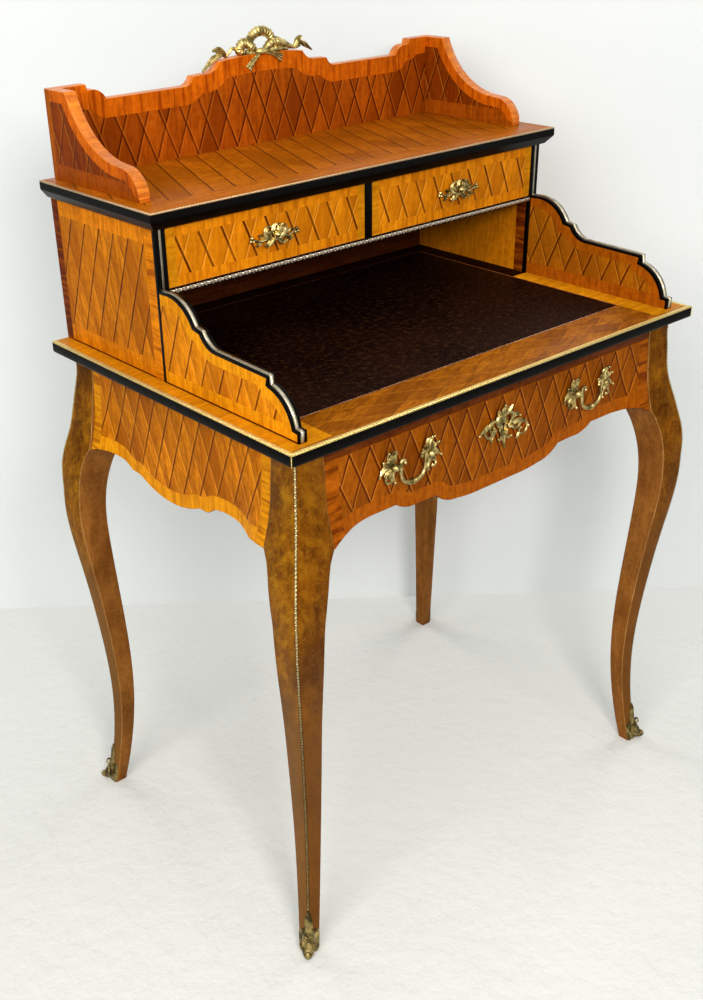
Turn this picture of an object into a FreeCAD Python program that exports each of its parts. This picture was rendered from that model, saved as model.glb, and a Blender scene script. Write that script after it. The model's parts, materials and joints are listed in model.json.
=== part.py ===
# Lady's writing desk: a table on cabriole legs that carries a stepped case of two drawers.
# Millimetres, +Z up, front towards -Y, origin on the floor under the middle of the desk.
import FreeCAD, Part
import Sketcher
import math
import os
from types import SimpleNamespace

from FreeCAD import Rotation, Vector

sizes = {
    # table top
    "top_width": 724,
    "top_depth": 506,
    "writing_height": 750,
    "top_thick": 16,
    "edge_width": 10,
    "edge_chamfer": 3,
    "brass_width": 3,
    "brass_thick": 1.5,
    "leather_side": 68,
    "leather_front": 73,
    "leather_back": 38,
    "leather_thick": 1.5,
    # legs
    "leg_inset": 20,
    "leg_block": 43,
    "knee_out": 29.5,
    "arris_width": 3,
    "sabot_height": 70,
    "sabot_wrap": 15,
    "sabot_thick": 2.5,
    "toe_radius": 6,
    # frieze round the table
    "apron_setback": 1,
    "apron_thick": 16,
    "side_frieze": 119,
    "side_drop": 31,
    "front_frieze": 112,
    "front_drop": 30,
    "rail_height": 19,
    # frieze drawer
    "front_thick": 18,
    "front_gap": 1,
    "box_fall": 6,
    "box_height": 76,
    "box_back_clear": 30,
    "box_side": 10,
    "box_floor": 6,
    "floor_rebate": 4,
    "side_clear": 2,
    "slide_gap": 0.3,
    "guide_lip": 18,
    "guide_thick": 14,
    # frieze drawer handles
    "handle_end": 131,
    "handle_fall": 55,
    "post_spacing": 60,
    "post_reach": 10,
    "post_ball": 5.2,
    "post_stem": 3.2,
    "rosette_radius": 10,
    "rosette_thick": 2.5,
    "bolt_radius": 2,
    "bolt_clear": 0.2,
    "bolt_tail": 5,
    "nut_radius": 5,
    "nut_thick": 3,
    "bail_wire": 2.8,
    "bail_drop": 27,
    "bail_corner": 14,
    "bail_eye": 4,
    "eye_gap": 0.4,
    "pin_radius": 1.5,
    "pin_clear": 0.05,
    "pin_length": 3.5,
    # frieze drawer lock
    "key_fall": 60,
    "key_radius": 2.5,
    "key_slot": 8,
    "key_slot_width": 3,
    "plate_width": 100,
    "plate_height": 52,
    "plate_thick": 2.5,
    "lock_width": 60,
    "lock_height": 56,
    "lock_depth": 12,
    "lock_sunk": 8,
    "tongue_width": 18,
    "tongue_thick": 5,
    "tongue_length": 23,
    "tongue_throw": 7,
    "lock_clear": 0.3,
    "mortise_clear": 2,
    # upper case
    "case_inset": 25,
    "case_depth": 236,
    "case_side": 15,
    "case_back": 10,
    "stile_thick": 6,
    "recess_height": 106,
    "deck_thick": 8,
    "deck_setback": 2,
    "drawer_opening": 74,
    "divider_width": 11.6,
    "bead_radius": 2.6,
    "fillet_width": 3,
    "fillet_depth": 1.2,
    # upper drawers
    "upper_front": 14,
    "upper_setback": 1,
    "upper_gap": 0.8,
    "upper_side": 8,
    "upper_floor": 5,
    "upper_box_height": 60,
    "upper_back_clear": 21,
    "pull_width": 76,
    "pull_height": 26,
    "pull_depth": 16,
    "pull_plate": 3,
    # wings in front of the case
    "wing_margin": 17,
    "wing_height": 115,
    "wing_thick": 12,
    "wing_lip": 3,
    # shelf on the case
    "shelf_over_side": 13,
    "shelf_over_front": 15,
    "shelf_thick": 22,
    "shelf_face": 11,
    "shelf_seat": 1,
    # gallery on the shelf
    "gallery_inset": 19,
    "gallery_thick": 16,
    "gallery_back_inset": 6,
    "gallery_back_thick": 15,
    "gallery_low": 88.5,
    "gallery_end": 108.5,
    "gallery_crown": 116,
    "gallery_reach": 195,
    "crest_width": 190,
    "crest_height": 36,
    "crest_wire": 5,
    "crest_gap": 0.3,
    # overrun of every cutting tool
    "overrun": 2,
}

# Leg outline, from the top of the frame down: knee swell and height.
leg_outer_shares = [(0, 0.975), (0.1, 0.94), (0.5, 0.845), (1, 0.71), (0.7, 0.545),
                    (0.37, 0.41), (0.17, 0.24), (0.37, 0.1), (0.7, 0)]
# Inner outline of the leg below the frieze: knee swell, leg thickness and height.
leg_inner_shares = [(0.69, 1.22, 0.808), (0.89, 1.116, 0.763), (1, 1.02, 0.7), (0.84, 0.895, 0.608),
                    (0.37, 0.72, 0.409), (0.17, 0.59, 0.24), (0.37, 0.505, 0.1), (0.7, 0.45, 0)]
leg_bracket_share = 0.828
sabot_shoulder_share = 0.25
# Lower edge of the front and back boards from the right leg to the middle: half length, drop and arc.
front_edge_shares = [(1, 0.67, 0), (0.84, 0, 0.15), (0.62, 0, 0), (0.49, 0.33, -0.2), (0.39, 0.36, 0),
                     (0.26, 0.9, -0.2), (0.12, 1, -0.05)]
# Lower edge of a side board from the back leg to the front one: length, drop and arc.
side_edge_shares = [(1, 0.3, 0), (0.92, 0.02, 0.1), (0.84, 0.15, 0.1), (0.8, 0.46, 0), (0.745, 0.51, 0),
                    (0.4, 0.51, -0.23), (0.35, 0.48, 0), (0.31, 0.16, 0), (0.2, 0.06, 0.1),
                    (0.1, 0.41, 0.1), (0, 0.8, 0.1)]
frieze_datum_share = 1.5
# Wing outline from the case forward: depth, height and arc.
wing_shares = [(0.04, 1, 0), (0.26, 0.755, -0.32), (0.312, 0.735, 0), (0.435, 0.585, 0.28),
               (0.8, 0.565, 0), (0.79, 0.48, 0), (0.965, 0.13, -0.33), (1, 0.125, 0)]
# Gallery side from the back forward: depth and height, with the arcs.
gallery_side_shares = [(0.25, 1, 0), (0.76, 0.345, -0.28), (0.84, 0.335, 0), (1, 0.055, 0.36)]
# Gallery back from the end to the middle: half length, rise from the low stretch and arc.
gallery_step_shares = [(0.89, 1, 0), (0.885, 0.65, 0), (0.85, 0.63, 0), (0.8, 0, 0.25)]
gallery_crown_shares = [(0.41, 0, 0), (0.37, 0.4, -0.25), (0.31, 0.43, 0), (0.23, 0.89, -0.3)]
crown_bow_share = 0.06
# Leaves of the crest on one side: place along it, height, reach along, thick and up.
crest_leaf_shares = [(0.17, 0.3, 0.2, 0.09, 0.34), (0.5, 0.2, 0.24, 0.07, 0.24),
                     (0.8, 0.08, 0.2, 0.05, 0.2)]
crest_ring_share = 0.44
# Leafy plate of a small pull from its right tip round to its left one: half width, half height and arc.
pull_leaf_shares = [(1, -0.3, 0), (0.62, 0.35, 0.25), (0.3, 0.62, 0.2), (0, 1, 0.2)]
pull_under_shares = [(0, -0.9, 0.2), (0.4, -0.7, 0.15), (0.72, -0.85, 0.2)]
# Beads of a small pull on one side: place along and up, and radius, of half its height.
pull_bead_shares = [(0.36, 0.1, 0.42), (0.72, -0.3, 0.3)]
pull_knob_share = 0.6
# Scrolls of the escutcheon on one side: place along and up, and radius, of half its width.
plate_lobe_shares = [(0.3, 0.2, 0.26), (0.36, -0.16, 0.24), (0.66, -0.06, 0.22), (0.86, -0.14, 0.14)]
plate_heart_share = 0.3
# Leaves of a handle rosette: turn and radius.
rosette_turns = [40, 110, 180, 250, 320]
rosette_leaf_share = 0.5
rosette_ring_share = 0.75


class Length:
    # A size that keeps its number and the sheet expression that gives it.
    def __init__(self, number, text):
        self.number = float(number)
        self.text = text

    def __float__(self):
        return self.number

    def __add__(self, other):
        return Length(self.number + other.number, "(%s + %s)" % (self.text, other.text))

    def __sub__(self, other):
        return Length(self.number - other.number, "(%s - %s)" % (self.text, other.text))

    def __neg__(self):
        return Length(-self.number, "(0 - %s)" % self.text)

    def __mul__(self, share):
        return Length(self.number * share, "(%s * %s)" % (self.text, share))

    def __truediv__(self, count):
        return Length(self.number / count, "(%s / %s)" % (self.text, count))


doc = FreeCAD.newDocument("WritingDesk")
sheet = doc.addObject("Spreadsheet::Sheet", "Sizes")
for row, (alias, value) in enumerate(sizes.items(), 1):
    sheet.set("A%d" % row, alias)
    sheet.set("B%d" % row, str(value))
    sheet.setAlias("B%d" % row, alias)
doc.recompute()
size = SimpleNamespace(**{alias: Length(sheet.get(alias), "Sizes." + alias) for alias in sizes})
zero = Length(0, "0")
nodes = {}


# Small tools that make bound objects

def place(thing, x, y, z):
    for axis, length in zip("xyz", (x, y, z)):
        thing.setExpression("Placement.Base." + axis, length.text)
    return thing


def box(name, x, y, z):
    solid = doc.addObject("Part::Box", name)
    for side, (low, high) in zip(("Length", "Width", "Height"), (x, y, z)):
        solid.setExpression(side, (high - low).text)
    return place(solid, x[0], y[0], z[0])


def both(length):
    return (-length, length)


rod_turns = {"x": Rotation(Vector(0, 1, 0), 90), "y": Rotation(Vector(1, 0, 0), -90)}


def rod(name, axis, start, radius, reach):
    solid = doc.addObject("Part::Cylinder", name)
    solid.Placement.Rotation = rod_turns[axis]
    solid.setExpression("Radius", radius.text)
    solid.setExpression("Height", reach.text)
    return place(solid, *start)


def ball(name, centre, radius):
    solid = doc.addObject("Part::Sphere", name)
    solid.setExpression("Radius", radius.text)
    return place(solid, *centre)


def pebble(name, centre, along, deep, tall):
    solid = doc.addObject("Part::Ellipsoid", name)
    for side, radius in zip(("Radius2", "Radius3", "Radius1"), (along, deep, tall)):
        solid.setExpression(side, radius.text)
    return place(solid, *centre)


def fuse(name, pieces):
    whole = doc.addObject("Part::MultiFuse", name)
    whole.Shapes = pieces
    return whole


def cut(name, base, tools):
    rest = doc.addObject("Part::Cut", name)
    rest.Base = base
    rest.Tool = tools[0] if len(tools) == 1 else fuse(name + "_tools", tools)
    return rest


def common(name, first, second):
    shared = doc.addObject("Part::Common", name)
    shared.Base = first
    shared.Tool = second
    return shared


def mirror(name, source, normal):
    copy = doc.addObject("Part::Mirroring", name)
    copy.Source = source
    copy.Normal = normal
    return copy


def group(name, pieces):
    several = doc.addObject("Part::Compound", name)
    several.Links = pieces
    return several


def shaped(name, shape):
    thing = doc.addObject("Part::Feature", name)
    thing.Shape = shape
    thing.Placement = FreeCAD.Placement()
    return thing


def keep(*things):
    for thing in things:
        nodes[thing.Label] = thing


across = Vector(1, 0, 0)
inward = Vector(0, 1, 0)


def pair(name, left):
    # The right-hand twin of a left-hand piece, both kept.
    right = mirror(name, left, across)
    keep(left, right)
    return right


# Boards with a drawn outline

def root_of_squares(first, second):
    text = "sqrt(%s ^ 2 + %s ^ 2)" % (first.text, second.text)
    return Length(math.hypot(first.number, second.number), text)


def add_edge(sketch, start, end, bulge):
    # One line, or one arc whose bow is given as a bulge, and which of its ends comes first.
    first = Vector(float(start[0]), float(start[1]), 0)
    last = Vector(float(end[0]), float(end[1]), 0)
    if not bulge:
        return sketch.addGeometry(Part.LineSegment(first, last)), 1, 2
    chord = last - first
    middle = (first + last) / 2 + Vector(chord.y, -chord.x, 0) * (bulge / 2)
    if bulge > 0:
        return sketch.addGeometry(Part.Arc(first, middle, last)), 1, 2
    return sketch.addGeometry(Part.Arc(last, middle, first)), 2, 1


def draw(sketch, path):
    # Corners are (across, up, bulge), the bulge belonging to the edge that ends there.
    following = path[1:] + path[:1]
    edges = [add_edge(sketch, here, after, after[2]) for here, after in zip(path, following)]
    limits = []
    expressions = []
    for number, (here, after) in enumerate(zip(path, following)):
        edge, start, end = edges[number]
        next_edge, next_start, _ = edges[(number + 1) % len(edges)]
        limits.append(Sketcher.Constraint("Coincident", edge, end, next_edge, next_start))
        for kind, axis, length in (("DistanceX", -2, here[0]), ("DistanceY", -1, here[1])):
            if length is zero:
                limits.append(Sketcher.Constraint("PointOnObject", edge, start, axis))
            else:
                expressions.append((len(limits), length.text))
                limits.append(Sketcher.Constraint(kind, edge, start, float(length)))
        if after[2]:
            bow = (1 + after[2] ** 2) / (4 * abs(after[2]))
            radius = root_of_squares(after[0] - here[0], after[1] - here[1]) * bow
            expressions.append((len(limits), radius.text))
            limits.append(Sketcher.Constraint("Radius", edge, float(radius)))
    sketch.addConstraint(limits)
    for number, text in expressions:
        sketch.setExpression("Constraints[%d]" % number, text)


def board(name, plane, path, thick):
    body = doc.addObject("PartDesign::Body", name)
    sketch = body.newObject("Sketcher::SketchObject", name + "_outline")
    flat = [feature for feature in body.Origin.OriginFeatures if feature.Role == plane]
    sketch.AttachmentSupport = [(flat[0], "")]
    sketch.MapMode = "FlatFace"
    draw(sketch, path)
    pad = body.newObject("PartDesign::Pad", name + "_pad")
    pad.Profile = sketch
    pad.setExpression("Length", thick.text)
    return body


def bar(start, end):
    # A straight bar with flat faces between two end outlines of as many corners.
    corners = range(len(start))
    faces = [Part.Face(Part.makePolygon(outline + outline[:1])) for outline in (start, end)]
    for here in corners:
        after = (here + 1) % len(start)
        quad = [start[here], start[after], end[after], end[here], start[here]]
        faces.append(Part.Face(Part.makePolygon(quad)))
    solid = Part.Solid(Part.Shell(faces))
    if solid.Volume < 0:
        solid.reverse()
    return solid


def mitred(name, outline, half_width, front, back):
    # Three lengths of one moulding round the front and both sides, mitred at the front corners.
    # Outline corners are (inset from the outer face, height).
    wide, near, far = float(half_width), float(front), float(back)
    rows = [(float(inset), float(height)) for inset, height in outline]
    left_mitre = [Vector(inset - wide, near + inset, height) for inset, height in rows]
    right_mitre = [Vector(wide - inset, near + inset, height) for inset, height in rows]
    left_end = [Vector(inset - wide, far, height) for inset, height in rows]
    right_end = [Vector(wide - inset, far, height) for inset, height in rows]
    lengths = [bar(left_mitre, left_end), bar(left_mitre, right_mitre), bar(right_mitre, right_end)]
    return shaped(name, Part.makeCompound(lengths))


# Places that several pieces share

half_width = size.top_width / 2
half_depth = size.top_depth / 2
top_z = size.writing_height
frame_z = top_z - size.top_thick
leg_x = half_width - size.leg_inset
leg_y = half_depth - size.leg_inset
leg_inner_x = leg_x - size.leg_block
leg_inner_y = leg_y - size.leg_block
front_face = size.apron_setback - leg_y
side_face = leg_x - size.apron_setback
rail_z = frame_z - size.rail_height


# Legs with brass arris strips and sabots

def leg_curve(rows, start):
    # Outward shift and height of each row, as a smooth curve in the XZ plane.
    points = [Vector(shift, 0, height) for shift, height in rows]
    curve = Part.BSplineCurve()
    free = [False] * (len(points) - 1)
    curve.interpolate(Points=points, Tangents=[start] * len(points), TangentFlags=[True] + free)
    return curve.toShape()


def leg_outer(reach):
    return [(reach + out * float(size.knee_out), high * float(frame_z)) for out, high in leg_outer_shares]


def leg_inner(reach):
    block = float(size.leg_block)
    rows = [(reach - block, leg_bracket_share * float(frame_z))]
    for out, thick, high in leg_inner_shares:
        rows.append((reach + out * float(size.knee_out) - thick * block, high * float(frame_z)))
    return rows


def sawn(outer_rows, inner_rows, low, high):
    # The slab between two curves of the leg, between two heights across the leg.
    top = float(frame_z)
    outer_top = Vector(outer_rows[0][0], 0, top)
    inner_top = Vector(inner_rows[0][0], 0, top)
    outer_knee = Vector(outer_rows[0][0], 0, outer_rows[0][1])
    inner_knee = Vector(inner_rows[0][0], 0, inner_rows[0][1])
    outer_foot = Vector(outer_rows[-1][0], 0, outer_rows[-1][1])
    inner_foot = Vector(inner_rows[-1][0], 0, inner_rows[-1][1])
    down = Vector(0, 0, -1)
    leave = down if inner_rows[0][1] == outer_rows[0][1] else Vector(2, 0, -1)
    edges = [Part.makeLine(inner_top, outer_top), Part.makeLine(outer_top, outer_knee),
             leg_curve(outer_rows, down), Part.makeLine(outer_foot, inner_foot),
             leg_curve(inner_rows, leave), Part.makeLine(inner_knee, inner_top)]
    face = Part.Face(Part.Wire(Part.__sortEdges__(edges)))
    face.translate(Vector(0, low, 0))
    return face.extrude(Vector(0, high - low, 0))


def leg_block_between(outer_shift, inner_rows_of, low_z, high_z):
    # Two sawn slabs at right angles, and what both leave between two heights.
    slabs = []
    reach = float(leg_x) + 2 * float(size.knee_out)
    for place_along in (float(leg_x), float(leg_y)):
        outer = [(shift + outer_shift, height) for shift, height in leg_outer(place_along)]
        slabs.append(sawn(outer, inner_rows_of(place_along), 0, reach))
    turned = slabs[1].copy()
    turned.rotate(Vector(0, 0, 0), Vector(0, 0, 1), 90)
    turned = turned.mirror(Vector(0, 0, 0), Vector(1, 0, 0))
    block = slabs[0].common(turned)
    window = Part.makeBox(reach, reach, high_z - low_z, Vector(0, 0, low_z))
    return block.common(window)


def outer_moved(shift):
    return lambda reach: [(out + shift, height) for out, height in leg_outer(reach)]


def sabot(leg):
    thick = float(size.sabot_thick)
    wrap = float(size.sabot_wrap)
    tall = float(size.sabot_height)
    shell = leg_block_between(thick, outer_moved(-wrap), 0, tall)
    foot_out = leg_outer_shares[-1][0] * float(size.knee_out)
    corner = Vector(float(leg_x) + foot_out, float(leg_y) + foot_out, 0)
    along = Vector(1, -1, 0).normalize()
    half = wrap + thick
    shoulder = Vector(0, 0, tall * sabot_shoulder_share)
    leaf = [corner - along * half, corner + along * half, corner + along * half + shoulder,
            corner + Vector(0, 0, tall), corner - along * half + shoulder]
    out = Vector(1, 1, 0).normalize()
    depth = float(size.leg_block)
    face = Part.Face(Part.makePolygon(leaf + leaf[:1]))
    face.translate(out * -depth)
    shell = shell.common(face.extrude(out * depth * 2))
    toe_radius = float(size.toe_radius)
    toe = Part.makeCylinder(toe_radius, half, corner + out * thick - along * (half / 2), along)
    toe.translate(Vector(0, 0, toe_radius))
    return shell.fuse(toe).cut(leg).removeSplitter()


whole_leg = leg_block_between(0, leg_inner, 0, float(frame_z))
strip_tool = leg_block_between(float(size.overrun), outer_moved(-float(size.arris_width)),
                               float(size.sabot_height), float(frame_z))
leg_back_right = shaped("leg_back_right", whole_leg.cut(strip_tool))
strip_back_right = shaped("strip_back_right", whole_leg.common(strip_tool))
sabot_back_right = shaped("sabot_back_right", sabot(whole_leg))


def all_four(name, back_right):
    # A back right piece and its three reflections.
    back_left = mirror(name % "back_left", back_right, across)
    front_right = mirror(name % "front_right", back_right, inward)
    front_left = mirror(name % "front_left", back_left, inward)
    return [front_left, front_right, back_left, back_right]


keep(*all_four("leg_%s", leg_back_right))
keep(group("leg_brass_strips", all_four("strip_%s", strip_back_right)))
keep(group("foot_sabots", all_four("sabot_%s", sabot_back_right)))


# Frieze boards with a shaped lower edge

def whole_edge(half_rows):
    # A half edge and its reflection, from the right-hand end to the left-hand one.
    arcs = [0] + [row[2] for row in reversed(half_rows)]
    right = [(0.5 + along / 2, fall, arc) for along, fall, arc in half_rows]
    left = [(0.5 - row[0] / 2, row[1], arc) for row, arc in zip(reversed(half_rows), arcs)]
    return right + left


def frieze_path(length, tall, drop, edge_rows):
    # Upright outline with heights up from a level under its lowest point.
    shoulder = drop * frieze_datum_share
    path = [(zero, shoulder + tall, 0), (length, shoulder + tall, 0)]
    for along, fall, arc in edge_rows:
        path.append((length * along if along else zero, shoulder - drop * fall, arc))
    return path


def frieze_datum(tall, drop):
    return frame_z - tall - drop * frieze_datum_share


side_path = frieze_path(leg_inner_y * 2, size.side_frieze, size.side_drop, side_edge_shares)
apron_left = board("apron_left", "YZ_Plane", side_path, size.apron_thick)
place(apron_left, -side_face, -leg_inner_y, frieze_datum(size.side_frieze, size.side_drop))
pair("apron_right", apron_left)

front_rows = whole_edge(front_edge_shares)
front_datum = frieze_datum(size.front_frieze, size.front_drop)
back_path = frieze_path(leg_inner_x * 2, size.front_frieze, size.front_drop, front_rows)
apron_back = board("apron_back", "XZ_Plane", back_path, size.apron_thick)
keep(place(apron_back, -leg_inner_x, -front_face, front_datum))

rail_back = front_face + size.leg_block - size.apron_setback
tongue_half = size.tongue_width / 2 + size.lock_clear
tongue_y = front_face + size.front_thick - size.lock_sunk + size.lock_depth / 2
tongue_near = tongue_y - size.tongue_thick / 2
tongue_far = tongue_y + size.tongue_thick / 2
rail_blank = box("rail_blank", both(leg_inner_x), (front_face, rail_back), (rail_z, frame_z))
tongue_slot_y = (tongue_near - size.lock_clear, tongue_far + size.lock_clear)
mortise = box("rail_mortise", both(size.tongue_width / 2 + size.mortise_clear),
              (tongue_near - size.mortise_clear, tongue_far + size.mortise_clear),
              (rail_z - size.overrun, rail_z + size.tongue_throw + size.mortise_clear))
keep(cut("front_top_rail", rail_blank, [mortise]))


# Table top with its ebonised edge, brass strip and leather

board_half = half_width - size.edge_width
leather_x = both(half_width - size.leather_side)
leather_y = (size.leather_front - half_depth, half_depth - size.leather_back)
leather_z = top_z - size.leather_thick
top_blank = box("top_blank", both(board_half), (size.edge_width - half_depth, half_depth), (frame_z, top_z))
leather_bed = box("leather_bed", leather_x, leather_y, (leather_z, top_z + size.overrun))
keep(cut("table_top", top_blank, [leather_bed]))
keep(box("writing_leather", leather_x, leather_y, (leather_z, top_z)))


def edge_outline(low, high, fall, step):
    # Ebonised edge with a rebate for the brass at its upper corner and a fall under it.
    rebate = high - size.brass_thick
    return [(zero, low + fall), (zero, rebate), (size.brass_width, rebate), (size.brass_width, high),
            (size.edge_width, high), (size.edge_width, low), (step, low)]


def brass_outline(high):
    rebate = high - size.brass_thick
    return [(zero, rebate), (zero, high), (size.brass_width, high), (size.brass_width, rebate)]


top_edge = edge_outline(frame_z, top_z, size.edge_chamfer, size.edge_chamfer)
keep(mitred("top_edge_mouldings", top_edge, half_width, -half_depth, half_depth))
keep(mitred("top_brass_strips", brass_outline(top_z), half_width, -half_depth, half_depth))


# A drawer box behind a front: two sides, a back and a floor let into the sides

def drawer_box(names, x, y, z, side, floor):
    low = z[0]
    rebate = side - size.floor_rebate
    floor_top = low + floor
    boards = []
    for name, start in zip(names[:2], (x[0], x[1] - side)):
        blank = box(name + "_blank", (start, start + side), y, z)
        boards.append((name, blank))
    floor_x = (x[0] + rebate, x[1] - rebate)
    for name, blank in boards:
        bed = box(name + "_bed", floor_x, (y[0] - size.overrun, y[1] + size.overrun),
                  (low - size.overrun, floor_top))
        keep(cut(name, blank, [bed]))
    keep(box(names[2], (x[0] + side, x[1] - side), (y[1] - side, y[1]), (floor_top, z[1])))
    keep(box(names[3], floor_x, y, (low, floor_top)))


# Frieze drawer

front_half = leg_inner_x - size.front_gap
front_back = front_face + size.front_thick
handle_z = frame_z - size.handle_fall
key_z = frame_z - size.key_fall
front_top = rail_z - size.front_gap
box_high = front_top - size.box_fall
box_low = box_high - size.box_height
box_half = leg_inner_x - size.side_clear
box_y = (front_back, -front_face - size.apron_thick - size.box_back_clear)

front_tall = size.front_frieze - size.rail_height - size.front_gap
front_path = frieze_path(front_half * 2, front_tall, size.front_drop, front_rows)
front_blank = board("front_blank", "XZ_Plane", front_path, size.front_thick)
place(front_blank, -front_half, front_back, front_datum)

lock_half = size.lock_width / 2
lock_y = (front_back - size.lock_sunk, front_back - size.lock_sunk + size.lock_depth)
lock_z = (front_top - size.lock_height, front_top)
through = (front_face - size.overrun, front_back + size.overrun)


def keyhole(name, span):
    hole = rod(name + "_eye", "y", (zero, span[0], key_z), size.key_radius, span[1] - span[0])
    slot = box(name + "_slot", both(size.key_slot_width / 2), span, (key_z - size.key_slot, key_z))
    return [hole, slot]


def handle_places():
    # Centre of each handle and of its two posts along the drawer.
    handle_x = front_half - size.handle_end
    for side_name, middle in (("left", -handle_x), ("right", handle_x)):
        yield side_name, middle, (middle - size.post_spacing / 2, middle + size.post_spacing / 2)


front_tools = keyhole("front_key", through)
bolt_hole = size.bolt_radius + size.bolt_clear
for side_name, middle, posts in handle_places():
    for number, post_x in enumerate(posts, 1):
        start = (post_x, through[0], handle_z)
        name = "front_hole_%s_%d" % (side_name, number)
        front_tools.append(rod(name, "y", start, bolt_hole, through[1] - through[0]))
lock_bed_z = (lock_z[0], lock_z[1] + size.overrun)
front_tools.append(box("lock_bed", both(lock_half), (lock_y[0], through[1]), lock_bed_z))
keep(cut("frieze_drawer_front", front_blank, front_tools))
frieze_names = ["frieze_drawer_" + name for name in ("left_side", "right_side", "back", "floor")]
drawer_box(frieze_names, both(box_half), box_y, (box_low, box_high), size.box_side, size.box_floor)

guide_face = box_half + size.slide_gap
guide_back = side_face - size.apron_thick
guide_lip = guide_face - size.guide_lip
guide_z = (box_low - size.guide_thick, frame_z)
guide_blank = box("guide_blank", (-guide_back, -guide_lip), both(leg_inner_y), guide_z)
guide_slot = box("guide_slot", (-guide_face, size.overrun - guide_lip),
                 both(leg_inner_y + size.overrun), (box_low - size.slide_gap, box_high + size.slide_gap))
guide_left = cut("guide_left", guide_blank, [guide_slot])
keep(group("drawer_guides", [guide_left, mirror("guide_right", guide_left, across)]))


# Lock with its tongue, and the escutcheon

lock_blank = box("lock_blank", both(lock_half), lock_y, lock_z)
tongue_low = lock_z[1] - size.tongue_length
tongue_bed = box("tongue_bed", both(tongue_half), tongue_slot_y, (tongue_low, lock_z[1] + size.overrun))
lock_tools = [tongue_bed] + keyhole("lock_key", (lock_y[0] - size.overrun, tongue_y))
keep(cut("frieze_lock", lock_blank, lock_tools))
keep(box("frieze_lock_tongue", both(size.tongue_width / 2), (tongue_near, tongue_far),
         (tongue_low, lock_z[1])))

plate_half = size.plate_width / 2
plate_front = front_face - size.plate_thick
plate_lobes = []
for number, (along, up, radius) in enumerate(plate_lobe_shares):
    for side_name, sign in (("left", -1), ("right", 1)):
        spot = (plate_half * (along * sign), plate_front, key_z + plate_half * up)
        name = "plate_%s_%d" % (side_name, number)
        plate_lobes.append(rod(name, "y", spot, plate_half * radius, size.plate_thick))
for name, sign in (("crown", 1), ("foot", -1)):
    heart = size.plate_height * plate_heart_share
    rise = (size.plate_height / 2 - heart) * sign
    spot = (zero, plate_front, key_z + rise)
    plate_lobes.append(rod("plate_" + name, "y", spot, heart, size.plate_thick))
plate_tools = keyhole("plate_key", (plate_front - size.overrun, front_face + size.overrun))
keep(cut("frieze_escutcheon", fuse("plate_blank", plate_lobes), plate_tools))


# Drop handles: two posts with rosettes, a bail on pins and nuts inside the drawer

post_y = front_face - size.post_reach
pin_start = size.post_ball + size.eye_gap


def post(name, post_x, towards):
    # A post with a leafy rosette, its bolt through the front and a blind hole for the bail's pin.
    foot = front_face - size.rosette_thick
    bolt_end = front_back + size.nut_thick + size.bolt_tail
    ring = size.rosette_radius * rosette_ring_share
    seat = (post_x, foot, handle_z)
    tip = (post_x, post_y, handle_z)
    pieces = [rod(name + "_rosette", "y", seat, size.rosette_radius, size.rosette_thick),
              rod(name + "_stem", "y", tip, size.post_stem, front_face - post_y),
              rod(name + "_bolt", "y", seat, size.bolt_radius, bolt_end - foot),
              ball(name + "_ball", tip, size.post_ball)]
    for turn in rosette_turns:
        angle = math.radians(turn)
        spot = (post_x + ring * math.sin(angle), foot, handle_z + ring * math.cos(angle))
        leaf = size.rosette_radius * rosette_leaf_share
        pieces.append(rod(name + "_leaf_%d" % turn, "y", spot, leaf, size.rosette_thick))
    depth = size.pin_length - size.eye_gap + size.pin_clear
    open_end = size.post_ball + size.overrun
    low = post_x + size.post_ball - depth if towards > 0 else post_x - open_end
    hole = rod(name + "_pin_hole", "x", (low, post_y, handle_z), size.pin_radius + size.pin_clear,
               depth + size.overrun)
    return cut(name, fuse(name + "_blank", pieces), [hole])


def bail_shape(middle):
    wire = float(size.bail_wire)
    eye_x = float(size.post_spacing / 2 - pin_start - size.bail_eye)
    corner = float(size.bail_corner)
    drop = float(size.bail_drop)
    centre = Vector(float(middle), float(post_y), float(handle_z))
    slope = corner * (1 - math.sqrt(0.5))
    points = {}
    for sign in (-1, 1):
        points[sign] = [Vector(sign * eye_x, 0, 0), Vector(sign * eye_x, 0, corner - drop),
                        Vector(sign * (eye_x - slope), 0, slope - drop),
                        Vector(sign * (eye_x - corner), 0, -drop)]
    left, right = points[-1], points[1]
    edges = [Part.makeLine(left[0], left[1]), Part.Arc(left[1], left[2], left[3]).toShape(),
             Part.makeLine(left[3], right[3]), Part.Arc(right[3], right[2], right[1]).toShape(),
             Part.makeLine(right[1], right[0])]
    ring = Part.Wire(Part.makeCircle(wire, left[0], Vector(0, 0, 1)))
    bow = Part.Wire(edges).makePipeShell([ring], True, False)
    pin = float(size.pin_length + size.bail_eye)
    for sign in (-1, 1):
        eye = Vector(sign * eye_x, 0, 0)
        bow = bow.fuse(Part.makeSphere(float(size.bail_eye), eye))
        bow = bow.fuse(Part.makeCylinder(float(size.pin_radius), pin, eye, Vector(sign, 0, 0)))
    bow.translate(centre)
    return bow.removeSplitter()


nuts = []
for side_name, middle, posts in handle_places():
    pieces = []
    for number, (post_x, towards) in enumerate(zip(posts, (1, -1)), 1):
        pieces.append(post("post_%s_%d" % (side_name, number), post_x, towards))
        name = "nut_%s_%d" % (side_name, number)
        nut_seat = (post_x, front_back, handle_z)
        nut_blank = rod(name + "_blank", "y", nut_seat, size.nut_radius, size.nut_thick)
        nut_hole = rod(name + "_hole", "y", (post_x, front_back - size.overrun, handle_z), bolt_hole,
                       size.nut_thick + size.overrun * 2)
        nuts.append(cut(name, nut_blank, [nut_hole]))
    keep(group("handle_posts_" + side_name, pieces))
    keep(shaped("handle_bail_" + side_name, bail_shape(middle)))
keep(group("handle_nuts", nuts))


# Upper case: sides, back, deck, divider, ebonised stiles and brass trim

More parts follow.
